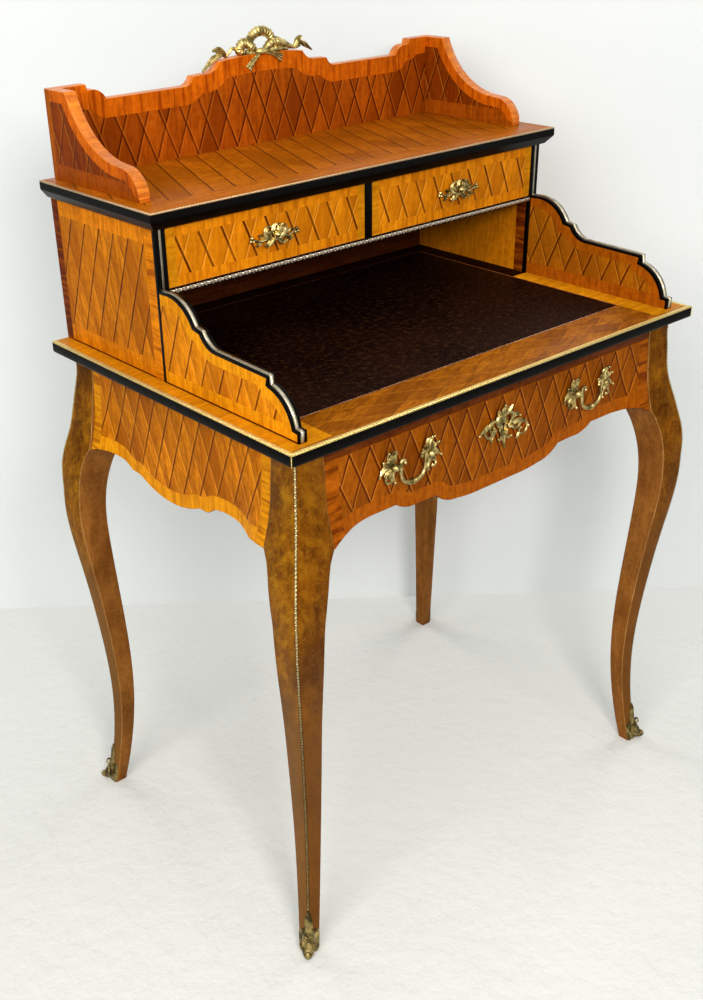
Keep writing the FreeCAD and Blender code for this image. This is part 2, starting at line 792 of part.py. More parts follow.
case_x = half_width - size.case_inset
case_inner = case_x - size.case_side
case_front = half_depth - size.case_depth
side_front = case_front + size.stile_thick
back_face = half_depth - size.case_back
deck_z = top_z + size.recess_height
deck_top = deck_z + size.deck_thick
shelf_z = deck_top + size.drawer_opening
shelf_top = shelf_z + size.shelf_thick

case_left = box("case_side_left", (-case_x, -case_inner), (side_front, half_depth), (top_z, shelf_z))
pair("case_side_right", case_left)
keep(box("case_back", both(case_inner), (back_face, half_depth), (top_z, shelf_z)))
deck_front = case_front + size.deck_setback
keep(box("case_deck", both(case_inner), (deck_front, back_face), (deck_z, deck_top)))
divider_half = size.divider_width / 2
keep(box("case_divider", both(divider_half), (case_front, back_face), (deck_top, shelf_z)))

bead_z = deck_z + size.deck_thick / 2
bead_rod = rod("bead_rod", "x", (-case_inner, deck_front, bead_z), size.bead_radius, case_inner * 2)
bead_half = box("bead_half", both(case_inner + size.overrun),
                (deck_front, deck_front + size.bead_radius + size.overrun),
                (bead_z - size.bead_radius - size.overrun, bead_z + size.bead_radius + size.overrun))
keep(cut("deck_brass_bead", bead_rod, [bead_half]))

stile_middle = case_x - size.case_side / 2
fillet_x = (-stile_middle - size.fillet_width / 2, size.fillet_width / 2 - stile_middle)
wing_top = top_z + size.wing_height
stile_blank = box("stile_blank", (-case_x, -case_inner), (case_front, side_front), (top_z, shelf_z))
fillet_bed = box("fillet_bed", fillet_x, (case_front - size.overrun, case_front + size.fillet_depth),
                 (wing_top, shelf_z + size.overrun))
stile_left = cut("stile_left", stile_blank, [fillet_bed])
fillet_y = (case_front, case_front + size.fillet_depth)
fillet_left = box("fillet_left", fillet_x, fillet_y, (wing_top, shelf_z))
keep(group("case_stiles", [stile_left, mirror("stile_right", stile_left, across)]))
keep(group("stile_brass_fillets", [fillet_left, mirror("fillet_right", fillet_left, across)]))


# Wings with an ebonised lip and a brass fillet along the scrolled edge

wing_front = size.wing_margin - half_depth
wing_depth = case_front - wing_front


def wing_body(name, lip):
    # Sketch runs from the wing's front end back to the case, so forward places are turned round.
    path = [(zero, zero, 0)]
    forward = list(reversed(wing_shares))
    bulges = [0] + [row[2] for row in reversed(wing_shares)]
    for (along, up, _), bulge in zip(forward, bulges):
        path.append((wing_depth * (1 - along), size.wing_height * up - lip, bulge))
    path.append((wing_depth - lip, size.wing_height - lip, 0))
    path.append((wing_depth - lip, zero, 0))
    body = board(name, "YZ_Plane", path, size.wing_thick)
    return place(body, -case_x, wing_front + lip, top_z)


wing_whole = wing_body("wing_whole", zero)
wing_ground = wing_body("wing_ground", size.fillet_depth)
wing_left = wing_body("wing_left", size.wing_lip)
pair("wing_right", wing_left)
wing_middle = case_x - size.wing_thick / 2
wing_slab_x = (-wing_middle - size.fillet_width / 2, size.fillet_width / 2 - wing_middle)
wing_slab = box("wing_slab", wing_slab_x, (wing_front - size.overrun, case_front),
                (top_z, wing_top + size.overrun))
wing_fillet = common("wing_fillet_left", cut("wing_skin", wing_whole, [wing_ground]), wing_slab)
wing_lip = cut("wing_lip_left", wing_whole, [wing_left, wing_fillet])
pair("wing_lip_right", wing_lip)
keep(group("wing_brass_fillets", [wing_fillet, mirror("wing_fillet_right", wing_fillet, across)]))


# Upper drawers with their bow pulls

upper_x = (size.upper_gap - case_inner, -divider_half - size.upper_gap)
upper_front_y = (case_front + size.upper_setback, case_front + size.upper_setback + size.upper_front)
upper_front_z = (deck_top + size.upper_gap, shelf_z - size.upper_gap)
upper_box_y = (upper_front_y[1], back_face - size.upper_back_clear)
upper_low = deck_top + size.slide_gap
upper_names = ["outer_side", "inner_side", "back", "floor"]
keep(box("upper_left_drawer_front", upper_x, upper_front_y, upper_front_z))
drawer_box(["upper_left_drawer_" + name for name in upper_names], upper_x, upper_box_y,
           (upper_low, upper_low + size.upper_box_height), size.upper_side, size.upper_floor)

pull_x = (upper_x[0] + upper_x[1]) / 2
pull_z = (upper_front_z[0] + upper_front_z[1]) / 2
pull_seat = upper_front_y[0]
pull_half = size.pull_width / 2
pull_tall = size.pull_height / 2


def pull_corner(along, up, arc):
    return (pull_half + pull_half * along, pull_tall + pull_tall * up, arc)


def pull_path():
    # Leaf outline round from the right tip over the top, and back under it.
    over = list(pull_leaf_shares)
    arcs = [row[2] for row in reversed(over)]
    rows = over + [(-row[0], row[1], arc) for row, arc in zip(list(reversed(over))[1:], arcs)]
    under = list(pull_under_shares)
    low_arcs = [row[2] for row in under[1:]] + [pull_under_shares[0][2]]
    rows += [(-row[0], row[1], arc) for row, arc in zip(list(reversed(under)), low_arcs)]
    rows += [row for row in under[1:]]
    path = [pull_corner(*row) for row in rows]
    path[len(over) * 2 - 2] = (zero,) + path[len(over) * 2 - 2][1:]
    return path


pull_plate = board("pull_plate", "XZ_Plane", pull_path(), size.pull_plate)
place(pull_plate, pull_x - pull_half, pull_seat, pull_z - pull_tall)
knob = pull_tall * pull_knob_share
pull_face = pull_seat - size.pull_plate
pull_pieces = [pull_plate, ball("pull_knob", (pull_x, pull_seat - size.pull_depth + knob, pull_z), knob)]
for number, (along, up, radius) in enumerate(pull_bead_shares):
    for side_name, sign in (("left", -1), ("right", 1)):
        spot = (pull_x + pull_half * (along * sign), pull_face, pull_z + pull_tall * up)
        pull_pieces.append(ball("pull_%s_%d" % (side_name, number), spot, pull_tall * radius))
pull_blank = fuse("pull_blank", pull_pieces)
pull_room = box("pull_room", (pull_x - size.pull_width, pull_x + size.pull_width),
                (pull_seat, pull_seat + size.pull_depth),
                (pull_z - size.pull_height, pull_z + size.pull_height))
keep(cut("upper_left_drawer_pull", pull_blank, [pull_room]))
for name in ["front"] + upper_names + ["pull"]:
    keep(mirror("upper_right_drawer_" + name, nodes["upper_left_drawer_" + name], across))


# Shelf with its ebonised edge and brass strip

shelf_x = case_x + size.shelf_over_side
shelf_front = case_front - size.shelf_over_front
keep(box("shelf_board", both(shelf_x - size.edge_width), (shelf_front + size.edge_width, half_depth),
         (shelf_z, shelf_top)))
shelf_edge = edge_outline(shelf_z, shelf_top, size.shelf_thick - size.shelf_face,
                          size.edge_width - size.shelf_seat)
keep(mitred("shelf_edge_mouldings", shelf_edge, shelf_x, shelf_front, half_depth))
keep(mitred("shelf_brass_strips", brass_outline(shelf_top), shelf_x, shelf_front, half_depth))


# Gallery with its crest

gallery_x = shelf_x - size.gallery_inset
gallery_inner = gallery_x - size.gallery_thick
gallery_back = half_depth - size.gallery_back_inset
gallery_near = gallery_back - size.gallery_back_thick

side_outline = [(size.gallery_reach, zero, 0), (size.gallery_reach, size.gallery_end, 0)]
for along, up, bulge in gallery_side_shares:
    side_outline.append((size.gallery_reach * (1 - along), size.gallery_end * up, bulge))
side_outline[-1] = (zero,) + side_outline[-1][1:]
side_outline.append((zero, zero, 0))
gallery_left = board("gallery_left", "YZ_Plane", side_outline, size.gallery_thick)
place(gallery_left, -gallery_x, gallery_back - size.gallery_reach, shelf_top)
pair("gallery_right", gallery_left)

end_rise = size.gallery_end - size.gallery_low
crown_rise = size.gallery_crown - size.gallery_low
half_top = [(along, size.gallery_low + end_rise * up, bulge) for along, up, bulge in gallery_step_shares]
for along, up, bulge in gallery_crown_shares:
    half_top.append((along, size.gallery_low + crown_rise * up, bulge))
back_outline = [(zero, zero, 0), (gallery_inner * 2, zero, 0), (gallery_inner * 2, size.gallery_end, 0)]
back_outline += [(gallery_inner + gallery_inner * along, z, bulge) for along, z, bulge in half_top]
left_bulges = [crown_bow_share] + [row[2] for row in reversed(half_top)][:-1]
for (along, z, _), bulge in zip(reversed(half_top), left_bulges):
    back_outline.append((gallery_inner - gallery_inner * along, z, bulge))
back_outline.append((zero, size.gallery_end, 0))
gallery_board = board("gallery_back", "XZ_Plane", back_outline, size.gallery_back_thick)
keep(place(gallery_board, -gallery_inner, gallery_back, shelf_top))

crest_y = (gallery_near + gallery_back) / 2
crest_z = shelf_top + size.gallery_crown
crest_half = size.crest_width / 2
ring_radius = size.crest_height * crest_ring_share
ring = doc.addObject("Part::Torus", "crest_ring")
ring.Placement.Rotation = rod_turns["y"]
ring.setExpression("Radius1", ring_radius.text)
ring.setExpression("Radius2", size.crest_wire.text)
place(ring, zero, crest_y, crest_z + size.crest_height - ring_radius - size.crest_wire)
leaves = []
for number, (along, up, wide, deep, tall) in enumerate(crest_leaf_shares):
    spot = (-crest_half * along, crest_y, crest_z + size.crest_height * up)
    leaves.append(pebble("crest_leaf_%d" % number, spot, crest_half * wide, crest_half * deep,
                         size.crest_height * tall))
bed_thick = size.gallery_back_thick + size.crest_gap * 2
crest_bed = board("crest_bed", "XZ_Plane", back_outline, bed_thick)
place(crest_bed, -gallery_inner, gallery_back + size.crest_gap, shelf_top + size.crest_gap)
spray = cut("crest_spray", fuse("crest_leaves", leaves), [crest_bed])
wreath = cut("crest_wreath", ring, [crest_bed])
keep(fuse("gallery_crest", [wreath, spray, mirror("crest_spray_right", spray, across)]))


# Check every object, then write each piece

doc.recompute()
for thing in doc.Objects:
    faults = [state for state in thing.State if state in ("Invalid", "Error")]
    if faults:
        raise RuntimeError("%s failed to build: %s" % (thing.Label, faults))
os.makedirs("parts", exist_ok=True)
for name, thing in nodes.items():
    shape = thing.Shape
    if shape.isNull() or not shape.isValid() or not shape.Solids:
        raise RuntimeError("%s has no valid solid" % name)
    shape.exportStep("parts/%s.step" % name)
    bounds = shape.BoundBox
    print("%-28s solids %d volume %10.0f" % (name, len(shape.Solids), shape.Volume),
          "x %.1f %.1f y %.1f %.1f z %.1f %.1f" % (bounds.XMin, bounds.XMax, bounds.YMin, bounds.YMax,
                                                   bounds.ZMin, bounds.ZMax))
print(len(nodes), "pieces written")
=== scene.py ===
import bpy
import bmesh
import json
import math
from mathutils import Matrix, Vector
from mathutils.bvhtree import BVHTree

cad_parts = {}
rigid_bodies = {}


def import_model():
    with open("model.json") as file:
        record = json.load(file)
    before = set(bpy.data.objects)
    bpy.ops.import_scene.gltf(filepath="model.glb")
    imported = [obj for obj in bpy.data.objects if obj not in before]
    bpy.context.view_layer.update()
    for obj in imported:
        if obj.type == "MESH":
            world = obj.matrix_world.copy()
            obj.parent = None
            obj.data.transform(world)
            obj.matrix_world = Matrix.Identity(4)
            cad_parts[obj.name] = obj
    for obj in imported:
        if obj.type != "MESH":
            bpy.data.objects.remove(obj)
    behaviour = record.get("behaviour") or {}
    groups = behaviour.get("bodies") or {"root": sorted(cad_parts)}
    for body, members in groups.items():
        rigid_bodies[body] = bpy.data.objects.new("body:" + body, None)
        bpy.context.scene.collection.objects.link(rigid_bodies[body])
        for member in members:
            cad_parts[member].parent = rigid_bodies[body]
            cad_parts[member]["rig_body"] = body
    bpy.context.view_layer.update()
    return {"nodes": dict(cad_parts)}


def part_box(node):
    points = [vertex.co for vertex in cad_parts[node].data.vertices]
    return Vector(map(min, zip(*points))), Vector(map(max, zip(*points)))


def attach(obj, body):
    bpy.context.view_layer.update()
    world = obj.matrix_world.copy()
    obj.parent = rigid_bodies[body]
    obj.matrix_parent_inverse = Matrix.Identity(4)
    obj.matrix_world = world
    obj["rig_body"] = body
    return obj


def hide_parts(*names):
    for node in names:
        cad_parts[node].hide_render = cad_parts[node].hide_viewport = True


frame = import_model()
cadNodes = frame["nodes"]
mm = 0.001
hands = (("left", -1), ("right", 1))
print("frame loaded with", len(cadNodes), "nodes")


# Shader helpers

class Signal:     # a shader socket that takes plain arithmetic
    def __init__(self, socket):
        self.socket, self.tree = socket, socket.id_data

    def __add__(self, other):
        return calc("ADD", self, other)

    def __sub__(self, other):
        return calc("SUBTRACT", self, other)

    def __rsub__(self, other):
        return calc("SUBTRACT", other, self)

    def __mul__(self, other):
        return calc("MULTIPLY", self, other)

    def __truediv__(self, other):
        return calc("DIVIDE", self, other)

    def __abs__(self):
        return calc("ABSOLUTE", self)


def feed(socket, value):
    if isinstance(value, Signal):
        value.tree.links.new(value.socket, socket)
    else:
        socket.default_value = (*value, 1.0) if socket.type == "RGBA" else value


def addNode(tree, kind, sockets=None, **settings):
    # gives a function of the output that is wanted
    node = tree.nodes.new(kind)
    for key, value in settings.items():
        setattr(node, key, value)
    for key, value in (sockets or {}).items():
        feed(node.inputs[key], value)
    return lambda key=0: Signal(node.outputs[key])


def treeOf(*values):
    return next(value.tree for value in values if isinstance(value, Signal))


def calc(operation, *values):
    return addNode(treeOf(*values), "ShaderNodeMath", dict(enumerate(values)), operation=operation)()


def vector(operation, first, second):
    return addNode(first.tree, "ShaderNodeVectorMath", {0: first, 1: second}, operation=operation)()


def part(point, axis):
    return addNode(point.tree, "ShaderNodeSeparateXYZ", {0: point})(axis)


def blend(factor, first, second, mode="MIX"):
    return addNode(treeOf(factor, first, second), "ShaderNodeMix", {0: factor, 6: first, 7: second},
                   data_type="RGBA", blend_type=mode)(2)


def shaded(color, value):
    grey = addNode(value.tree, "ShaderNodeCombineColor", {i: value for i in range(3)})()
    return blend(1.0, color, grey, "MULTIPLY")


def remap(value, low, high, toLow=0.0, toHigh=1.0):
    return addNode(value.tree, "ShaderNodeMapRange", {0: value, 1: low, 2: high, 3: toLow, 4: toHigh})()


def noise(point, scale, detail=3.0, rough=0.55):
    return addNode(point.tree, "ShaderNodeTexNoise",
                   {"Vector": point, "Scale": scale, "Detail": detail, "Roughness": rough})()


socketKinds = {"v": "NodeSocketVector", "f": "NodeSocketFloat", "c": "NodeSocketColor"}


def newGroup(name, given, wanted):
    # sockets are listed as kind.label
    tree = bpy.data.node_groups.new(name, "ShaderNodeTree")
    for direction, labels in (("INPUT", given), ("OUTPUT", wanted)):
        for kind, label in (word.split(".") for word in labels.split()):
            tree.interface.new_socket(label, in_out=direction, socket_type=socketKinds[kind])
    start, end = tree.nodes.new("NodeGroupInput").outputs, tree.nodes.new("NodeGroupOutput").inputs
    return tree, lambda label: Signal(start[label]), lambda label, value: feed(end[label], value)


# Shared effects

def makeWoodFigure():
    tree, given, want = newGroup("woodFigure", "v.Point v.Stretch f.Seed c.Dark c.Light",
                                 "c.Color f.Height f.Streak")
    shift = addNode(tree, "ShaderNodeCombineXYZ", {i: given("Seed") * step
                                                   for i, step in enumerate((31.7, 17.3, 47.1))})()
    fibre = vector("ADD", vector("MULTIPLY", given("Point"), given("Stretch")), shift)
    fine, broad = noise(fibre, 1.0, 4.0, 0.65), noise(fibre, 0.3, 2.0, 0.5)
    cloudy = noise(vector("ADD", given("Point"), shift), 130.0, 3.0, 0.6)
    streak = broad * 0.4 + fine * 0.32 + cloudy * 0.36
    want("Color", blend(remap(streak, 0.42, 0.66), given("Dark"), given("Light")))
    want("Height", fine)
    want("Streak", remap(noise(fibre, 0.21, 3.0, 0.6), 0.51, 0.64))
    return tree


def makeLattice():
    tree, given, want = newGroup("lozengeLattice", "f.Across f.Up f.Pitch f.Rise f.Spacing f.WidthA f.WidthB",
                                 "f.LineA f.LineB f.EdgeA f.EdgeB f.Sweep f.Tone f.Seed")
    across, up = given("Across") / given("Pitch"), given("Up") / given("Rise")
    cells = []
    for label, spot in (("A", across + up), ("B", across - up)):
        off = (calc("FRACT", spot + 0.5) - 0.5) * given("Spacing")     # metres from the middle of the line
        share = off / given("Width" + label)
        want("Line" + label, remap(abs(share), 0.34, 0.62, 1.0, 0.0))
        # a pale stripe along one side of each line: a painted highlight, as if the line's edge caught the
        # light
        want("Edge" + label, remap(abs(share - 0.85), 0.2, 0.45, 1.0, 0.0))
        cells.append(calc("FLOOR", spot))
    # a slope across each strip between the family B lines, used for painted light and shade
    want("Sweep", calc("FRACT", across - up))
    cell = addNode(tree, "ShaderNodeCombineXYZ", dict(enumerate(cells)))()
    spread = addNode(tree, "ShaderNodeTexWhiteNoise", {"Vector": cell}, noise_dimensions="3D")
    want("Tone", spread("Value"))
    want("Seed", addNode(tree, "ShaderNodeSeparateColor", {0: spread("Color")})(1))
    return tree


def makePolish():
    tree, given, want = newGroup("handPolish", "v.Point f.Gloss f.Wear", "f.Roughness f.Shade")
    cloudy, rubbed = noise(given("Point"), 11.0), noise(given("Point"), 140.0, 2.0)
    want("Roughness", (rubbed * 0.35 + cloudy - 0.6) * given("Wear") + given("Gloss"))
    want("Shade", remap(cloudy, 0.3, 0.7, 0.86, 1.1))
    return tree


def makeMilling():
    tree, given, want = newGroup("milledCord", "v.Point f.Pitch f.Cut", "f.Height f.Shade")
    run = part(given("Point"), 0) + part(given("Point"), 1) + part(given("Point"), 2)
    wave = calc("SINE", run / given("Pitch") * (2 * math.pi))
    want("Height", wave)
    want("Shade", wave * given("Cut") + remap(noise(given("Point"), 420.0, 2.0), 0.3, 0.7, 0.4, 0.95))
    return tree


def makePatina():
    tree, given, want = newGroup("agedGilt", "v.Point c.Bright c.Dull f.Age", "c.Color f.Roughness f.Height")
    mask = remap(noise(given("Point"), 90.0, 4.0, 0.6) + given("Age") * 0.3, 0.45, 0.72)
    want("Color", blend(mask, given("Bright"), given("Dull")))
    want("Roughness", mask * 0.25 + 0.24)
    want("Height", noise(given("Point"), 900.0, 2.0))
    return tree


groups = {"figure": makeWoodFigure(), "lattice": makeLattice(), "polish": makePolish(),
          "milling": makeMilling(), "patina": makePatina()}
print("shared effects ready")


# Materials

grainRuns = {"x": (55, 620, 620), "y": (620, 55, 620), "z": (620, 620, 55)}
panelPlanes = {"front": (0, 2), "side": (1, 2), "top": (0, 1)}
redLine = (0.07, 0.008, 0.0008)


def newMaterial(name):
    material = bpy.data.materials.new(name)
    material.use_nodes = True
    tree = material.node_tree
    tree.nodes.clear()
    shader = tree.nodes.new("ShaderNodeBsdfPrincipled")
    tree.links.new(shader.outputs[0], tree.nodes.new("ShaderNodeOutputMaterial").inputs[0])
    return material, shader, addNode(tree, "ShaderNodeTexCoord")("Object")


def dress(shader, values):
    for label, value in values.items():
        feed(shader.inputs[label], value)


def place(group, point, **sockets):
    return addNode(point.tree, "ShaderNodeGroup", sockets, node_tree=groups[group])


def bump(shader, height, strength, distance):
    sockets = {"Height": height, "Strength": strength, "Distance": distance}
    feed(shader.inputs["Normal"], addNode(height.tree, "ShaderNodeBump", sockets)())


def polished(shader, point, color, gloss=0.3, wear=0.25, shine=0.02):
    polish = place("polish", point, Point=point, Gloss=gloss, Wear=wear)
    dress(shader, {"Base Color": shaded(color, polish("Shade")), "Roughness": polish("Roughness"),
                   "Specular IOR Level": shine})


def latticeVeneer(name, look):
    material, shader, point = newMaterial(name)
    across, up = (part(point, i) - cross for i, cross in zip(panelPlanes[look["plane"]], look["cross"]))
    pitch, rise = look["pitch"], look["rise"]
    lattice = place("lattice", point, Across=across, Up=up, Pitch=pitch, Rise=rise, WidthA=look["widths"][0],
                    WidthB=look["widths"][1], Spacing=1 / math.hypot(1 / pitch, 1 / rise))
    figure = place("figure", point, Point=point, Stretch=grainRuns[look["grain"]], Seed=lattice("Seed"),
                   Dark=look["dark"], Light=look["light"])
    color = blend(calc("POWER", lattice("Tone"), 1.6) * look["spread"], figure("Color"), look["deep"])
    # painted light and shade: each strip lighter on one side and darker on the other, for a raised look
    color = shaded(color, remap(lattice("Sweep"), 0.0, 1.0, 1 + look["sweep"], 1 - look["sweep"]))
    over, beside = across / pitch + up / rise, across / pitch - up / rise
    slanted = addNode(point.tree, "ShaderNodeCombineXYZ", {0: beside * 5.0, 1: over, 2: lattice("Seed")})()
    feather = remap(noise(slanted, 1.0, 4.0, 0.65), 0.45, 0.66, 0.0, look["feather"])
    color = blend(feather, color, look["deep"])     # streaks that lie along family B
    worn = remap(noise(point, 26.0, 2.0), 0.35, 0.6, 0.7, 1.0)     # lines fade where they are rubbed
    cuts = []
    for i, label in ((1, "B"), (0, "A")):
        # the painted highlight along one side of the line, then the dark line itself
        color = blend(lattice("Edge" + label) * look["edges"][i], color, look["pale"])
        cuts.append(lattice("Line" + label) * worn * look["strengths"][i])
        color = blend(cuts[-1], color, look["lines"][i])
    bump(shader, (cuts[0] + cuts[1]) * -1.2 + figure("Height") * 0.25, 0.35, 0.0006)
    polished(shader, point, color, shine=look["shine"])
    return material


def plainVeneer(name, grain, dark, light, streak=None, foot=None, shine=0.02, gloss=0.3, stretch=1.0):
    material, shader, point = newMaterial(name)
    run = tuple(stretch * value for value in grainRuns[grain])
    figure = place("figure", point, Point=point, Stretch=run, Seed=0.0, Dark=dark, Light=light)
    color = figure("Color")
    if streak:
        color = blend(figure("Streak") * 0.75, color, streak)
    if foot:     # a dark line at the foot
        color = blend(remap(part(point, 2), foot, foot + 0.0008, 1.0, 0.0), color, redLine)
    bump(shader, figure("Height"), 0.12, 0.0004)
    polished(shader, point, color, gloss, shine=shine)
    return material


def legVeneer(name, dark, light, patch, dusk, fleck, lower=None):
    material, shader, point = newMaterial(name)
    figure = place("figure", point, Point=point, Stretch=(300, 300, 60), Seed=0.3, Dark=dark, Light=light)
    slant = vector("ADD", vector("MULTIPLY", point, (60, 60, 14)), part(point, 2) * 26.0)
    color = blend(remap(noise(slant, 1.0, 4.0, 0.65), 0.46, 0.66, 0.0, 0.7), figure("Color"), patch)
    dusky = noise(vector("MULTIPLY", point, (1, 1, 0.6)), 19.0, 4.0)
    color = blend(remap(dusky, 0.47, 0.68, 0.0, 0.75), color, dusk)
    flecks = noise(vector("MULTIPLY", point, (520, 520, 300)), 1.0, 2.0)
    color = blend(remap(flecks, 0.6, 0.74, 0.0, fleck), color, (0.5, 0.28, 0.05))
    if lower:     # plainer towards the foot
        plainer = blend(figure("Height"), *lower)
        color = blend(remap(part(point, 2), 0.34, 0.52, 0.85, 0.0), color, plainer)
    bump(shader, figure("Height"), 0.1, 0.0004)
    polished(shader, point, color, 0.32, shine=0.025)
    return material


def ebonised():
    material, shader, point = newMaterial("ebonisedEdge")
    scuff = remap(noise(point, 160.0, 5.0, 0.7), 0.6, 0.8, 0.0, 0.5)
    bump(shader, scuff, 0.08, 0.0003)
    polished(shader, point, blend(scuff, (0.0016, 0.0012, 0.001), (0.014, 0.01, 0.007)), wear=0.2, shine=0.05)
    return material


def writingLeather():
    material, shader, point = newMaterial("writingLeather")
    cells = addNode(point.tree, "ShaderNodeTexVoronoi", {"Vector": point, "Scale": 330.0},
                    feature="DISTANCE_TO_EDGE")()
    wrinkles = noise(point, 120.0, 5.0, 0.65)
    worn = remap(noise(point, 7.0, 4.0), 0.42, 0.7)
    color = blend(worn, (0.0042, 0.0007, 0.0003), (0.0125, 0.0028, 0.001))
    color = blend(remap(wrinkles, 0.5, 0.7, 0.0, 0.75), color, (0.046, 0.015, 0.0045))
    dress(shader, {"Base Color": color, "Roughness": remap(wrinkles, 0.3, 0.7, 0.4, 0.6),
                   "Specular IOR Level": 0.04})
    bump(shader, remap(cells, 0.0, 0.22) * 0.5 + wrinkles, 0.5, 0.0007)
    return material


def agedGilt(name, bright, dull, age):
    material, shader, point = newMaterial(name)
    patina = place("patina", point, Point=point, Bright=bright, Dull=dull, Age=age)
    dress(shader, {"Base Color": patina("Color"), "Roughness": patina("Roughness"), "Metallic": 1.0})
    bump(shader, patina("Height"), 0.15, 0.0004)
    return material


def milledBrass(name, bright, dull, pitch, depth, cut=0.18, fade=None, grime=None):
    material, shader, point = newMaterial(name)
    milling = place("milling", point, Point=point, Pitch=pitch, Cut=cut)
    color = blend(milling("Shade"), dull, bright)
    if fade:     # grimy lower down
        grimy = blend(remap(milling("Shade"), 0.3, 0.9), (0.012, 0.007, 0.003), grime)
        color = blend(remap(part(point, 2), *fade, 0.85, 0.0), color, grimy)
    rough = remap(milling("Shade"), 0.2, 1.2, 0.46, 0.26)
    dress(shader, {"Base Color": color, "Roughness": rough, "Metallic": 1.0})
    bump(shader, milling("Height"), 0.6, depth)
    return material


def dullIron():
    material, shader, point = newMaterial("dullIron")
    spots = remap(noise(point, 160.0, 5.0, 0.65), 0.4, 0.7)
    dress(shader, {"Base Color": blend(spots, (0.2, 0.19, 0.18), (0.07, 0.045, 0.03)),
                   "Roughness": remap(spots, 0.0, 1.0, 0.38, 0.7), "Metallic": 0.9})
    bump(shader, spots, 0.2, 0.0003)
    return material


# cross: a crossing of the lattice lines; family A leans back as it rises, family B the other way
sideLook = dict(
    plane="side", pitch=0.0329, rise=0.0802, cross=(0.1374, 0.845), widths=(0.0028, 0.002), grain="z",
    # sweep: strength of the painted light and shade across each strip
    dark=(0.4, 0.104, 0.0016), light=(0.74, 0.235, 0.005), deep=(0.28, 0.063, 0.001), spread=0.7, sweep=0.12,
    # edges and pale: strength and colour of the painted highlight beside each line
    feather=0.6, lines=(redLine, (0.25, 0.06, 0.002)), strengths=(0.95, 0.4), edges=(0.12, 0.3),
    pale=(0.85, 0.33, 0.03), shine=0.02)
frontLook = dict(sideLook, plane="front", pitch=0.0337, rise=0.0825, widths=(0.0027, 0.0027), sweep=0.06,
                 lines=(redLine, redLine), strengths=(0.95, 0.95), edges=(0.4, 0.4), feather=0.35)
drawerLook = dict(frontLook, dark=(0.58, 0.165, 0.002), light=(0.9, 0.29, 0.005), deep=(0.42, 0.105, 0.0016),
                  widths=(0.0032, 0.002), strengths=(0.95, 0.35), edges=(0.3, 0.95), feather=0.45)
topLook = dict(frontLook, plane="top", grain="x", dark=(0.35, 0.086, 0.0014), light=(0.58, 0.155, 0.0034),
               deep=(0.25, 0.058, 0.001), feather=0.5, shine=0.06)
latticeSpec = {
    "side": sideLook,
    "apron": dict(sideLook, pitch=0.0323, rise=0.0785, cross=(-0.002, 0.676), strengths=(0.85, 0.2),
                  edges=(0.2, 0.6), sweep=0.2),
    "wing": dict(sideLook, pitch=0.034, rise=0.084, cross=(-0.0209, 0.7606), dark=(0.52, 0.145, 0.002),
                 light=(0.86, 0.3, 0.006), deep=(0.4, 0.1, 0.0015), strengths=(0.9, 0.25), edges=(0.2, 0.6),
                 sweep=0.16),
    "wingInner": dict(sideLook, pitch=0.0335, rise=0.078, cross=(-0.0058, 0.808), dark=(0.29, 0.08, 0.002),
                      light=(0.46, 0.14, 0.004), deep=(0.24, 0.06, 0.002), lines=(redLine, redLine),
                      strengths=(0.95, 0.7)),
    "frieze": dict(frontLook, pitch=0.0324, rise=0.072, cross=(-0.2606, 0.712), dark=(0.22, 0.05, 0.0014),
                   light=(0.4, 0.1, 0.003), deep=(0.15, 0.03, 0.001), pale=(0.6, 0.2, 0.02)),
    "drawer_left": dict(drawerLook, cross=(-0.2985, 0.901)),
    "drawer_right": dict(drawerLook, pitch=0.03385, cross=(0.0289, 0.9)),
    "gallery": dict(frontLook, pitch=0.0336, rise=0.084, cross=(-0.0155, 0.961), dark=(0.275, 0.045, 0.0015),
                    light=(0.49, 0.096, 0.0033), deep=(0.18, 0.026, 0.001), spread=0.85, feather=0.25,
                    pale=(0.55, 0.14, 0.012)),
    "gallerySide": dict(sideLook, cross=(0.19, 0.995), dark=(0.11, 0.014, 0.001), light=(0.26, 0.042, 0.0015),
                        deep=(0.22, 0.038, 0.001), lines=(redLine, redLine), strengths=(0.85, 0.7)),
    "shelf": dict(topLook, pitch=0.03275, rise=0.0819, cross=(0.0054, 0.14), widths=(0.002, 0.0026),
                  strengths=(0.0, 0.92), edges=(0.0, 0.12)),
    "top": dict(topLook, pitch=0.068, rise=0.034, cross=(0.0, -0.21), dark=(0.29, 0.076, 0.0018),
                light=(0.49, 0.15, 0.0056), deep=(0.15, 0.035, 0.001), widths=(0.0014, 0.0014),
                strengths=(0.0, 0.35), edges=(0.35, 0.1), feather=0.75),
}
redTone, oakTone = ((0.24, 0.048, 0.0014), (0.42, 0.1, 0.0025)), ((0.26, 0.13, 0.045), (0.47, 0.27, 0.115))
brightTone = ((0.56, 0.18, 0.002), (0.86, 0.33, 0.005), (0.5, 0.15, 0.0016))
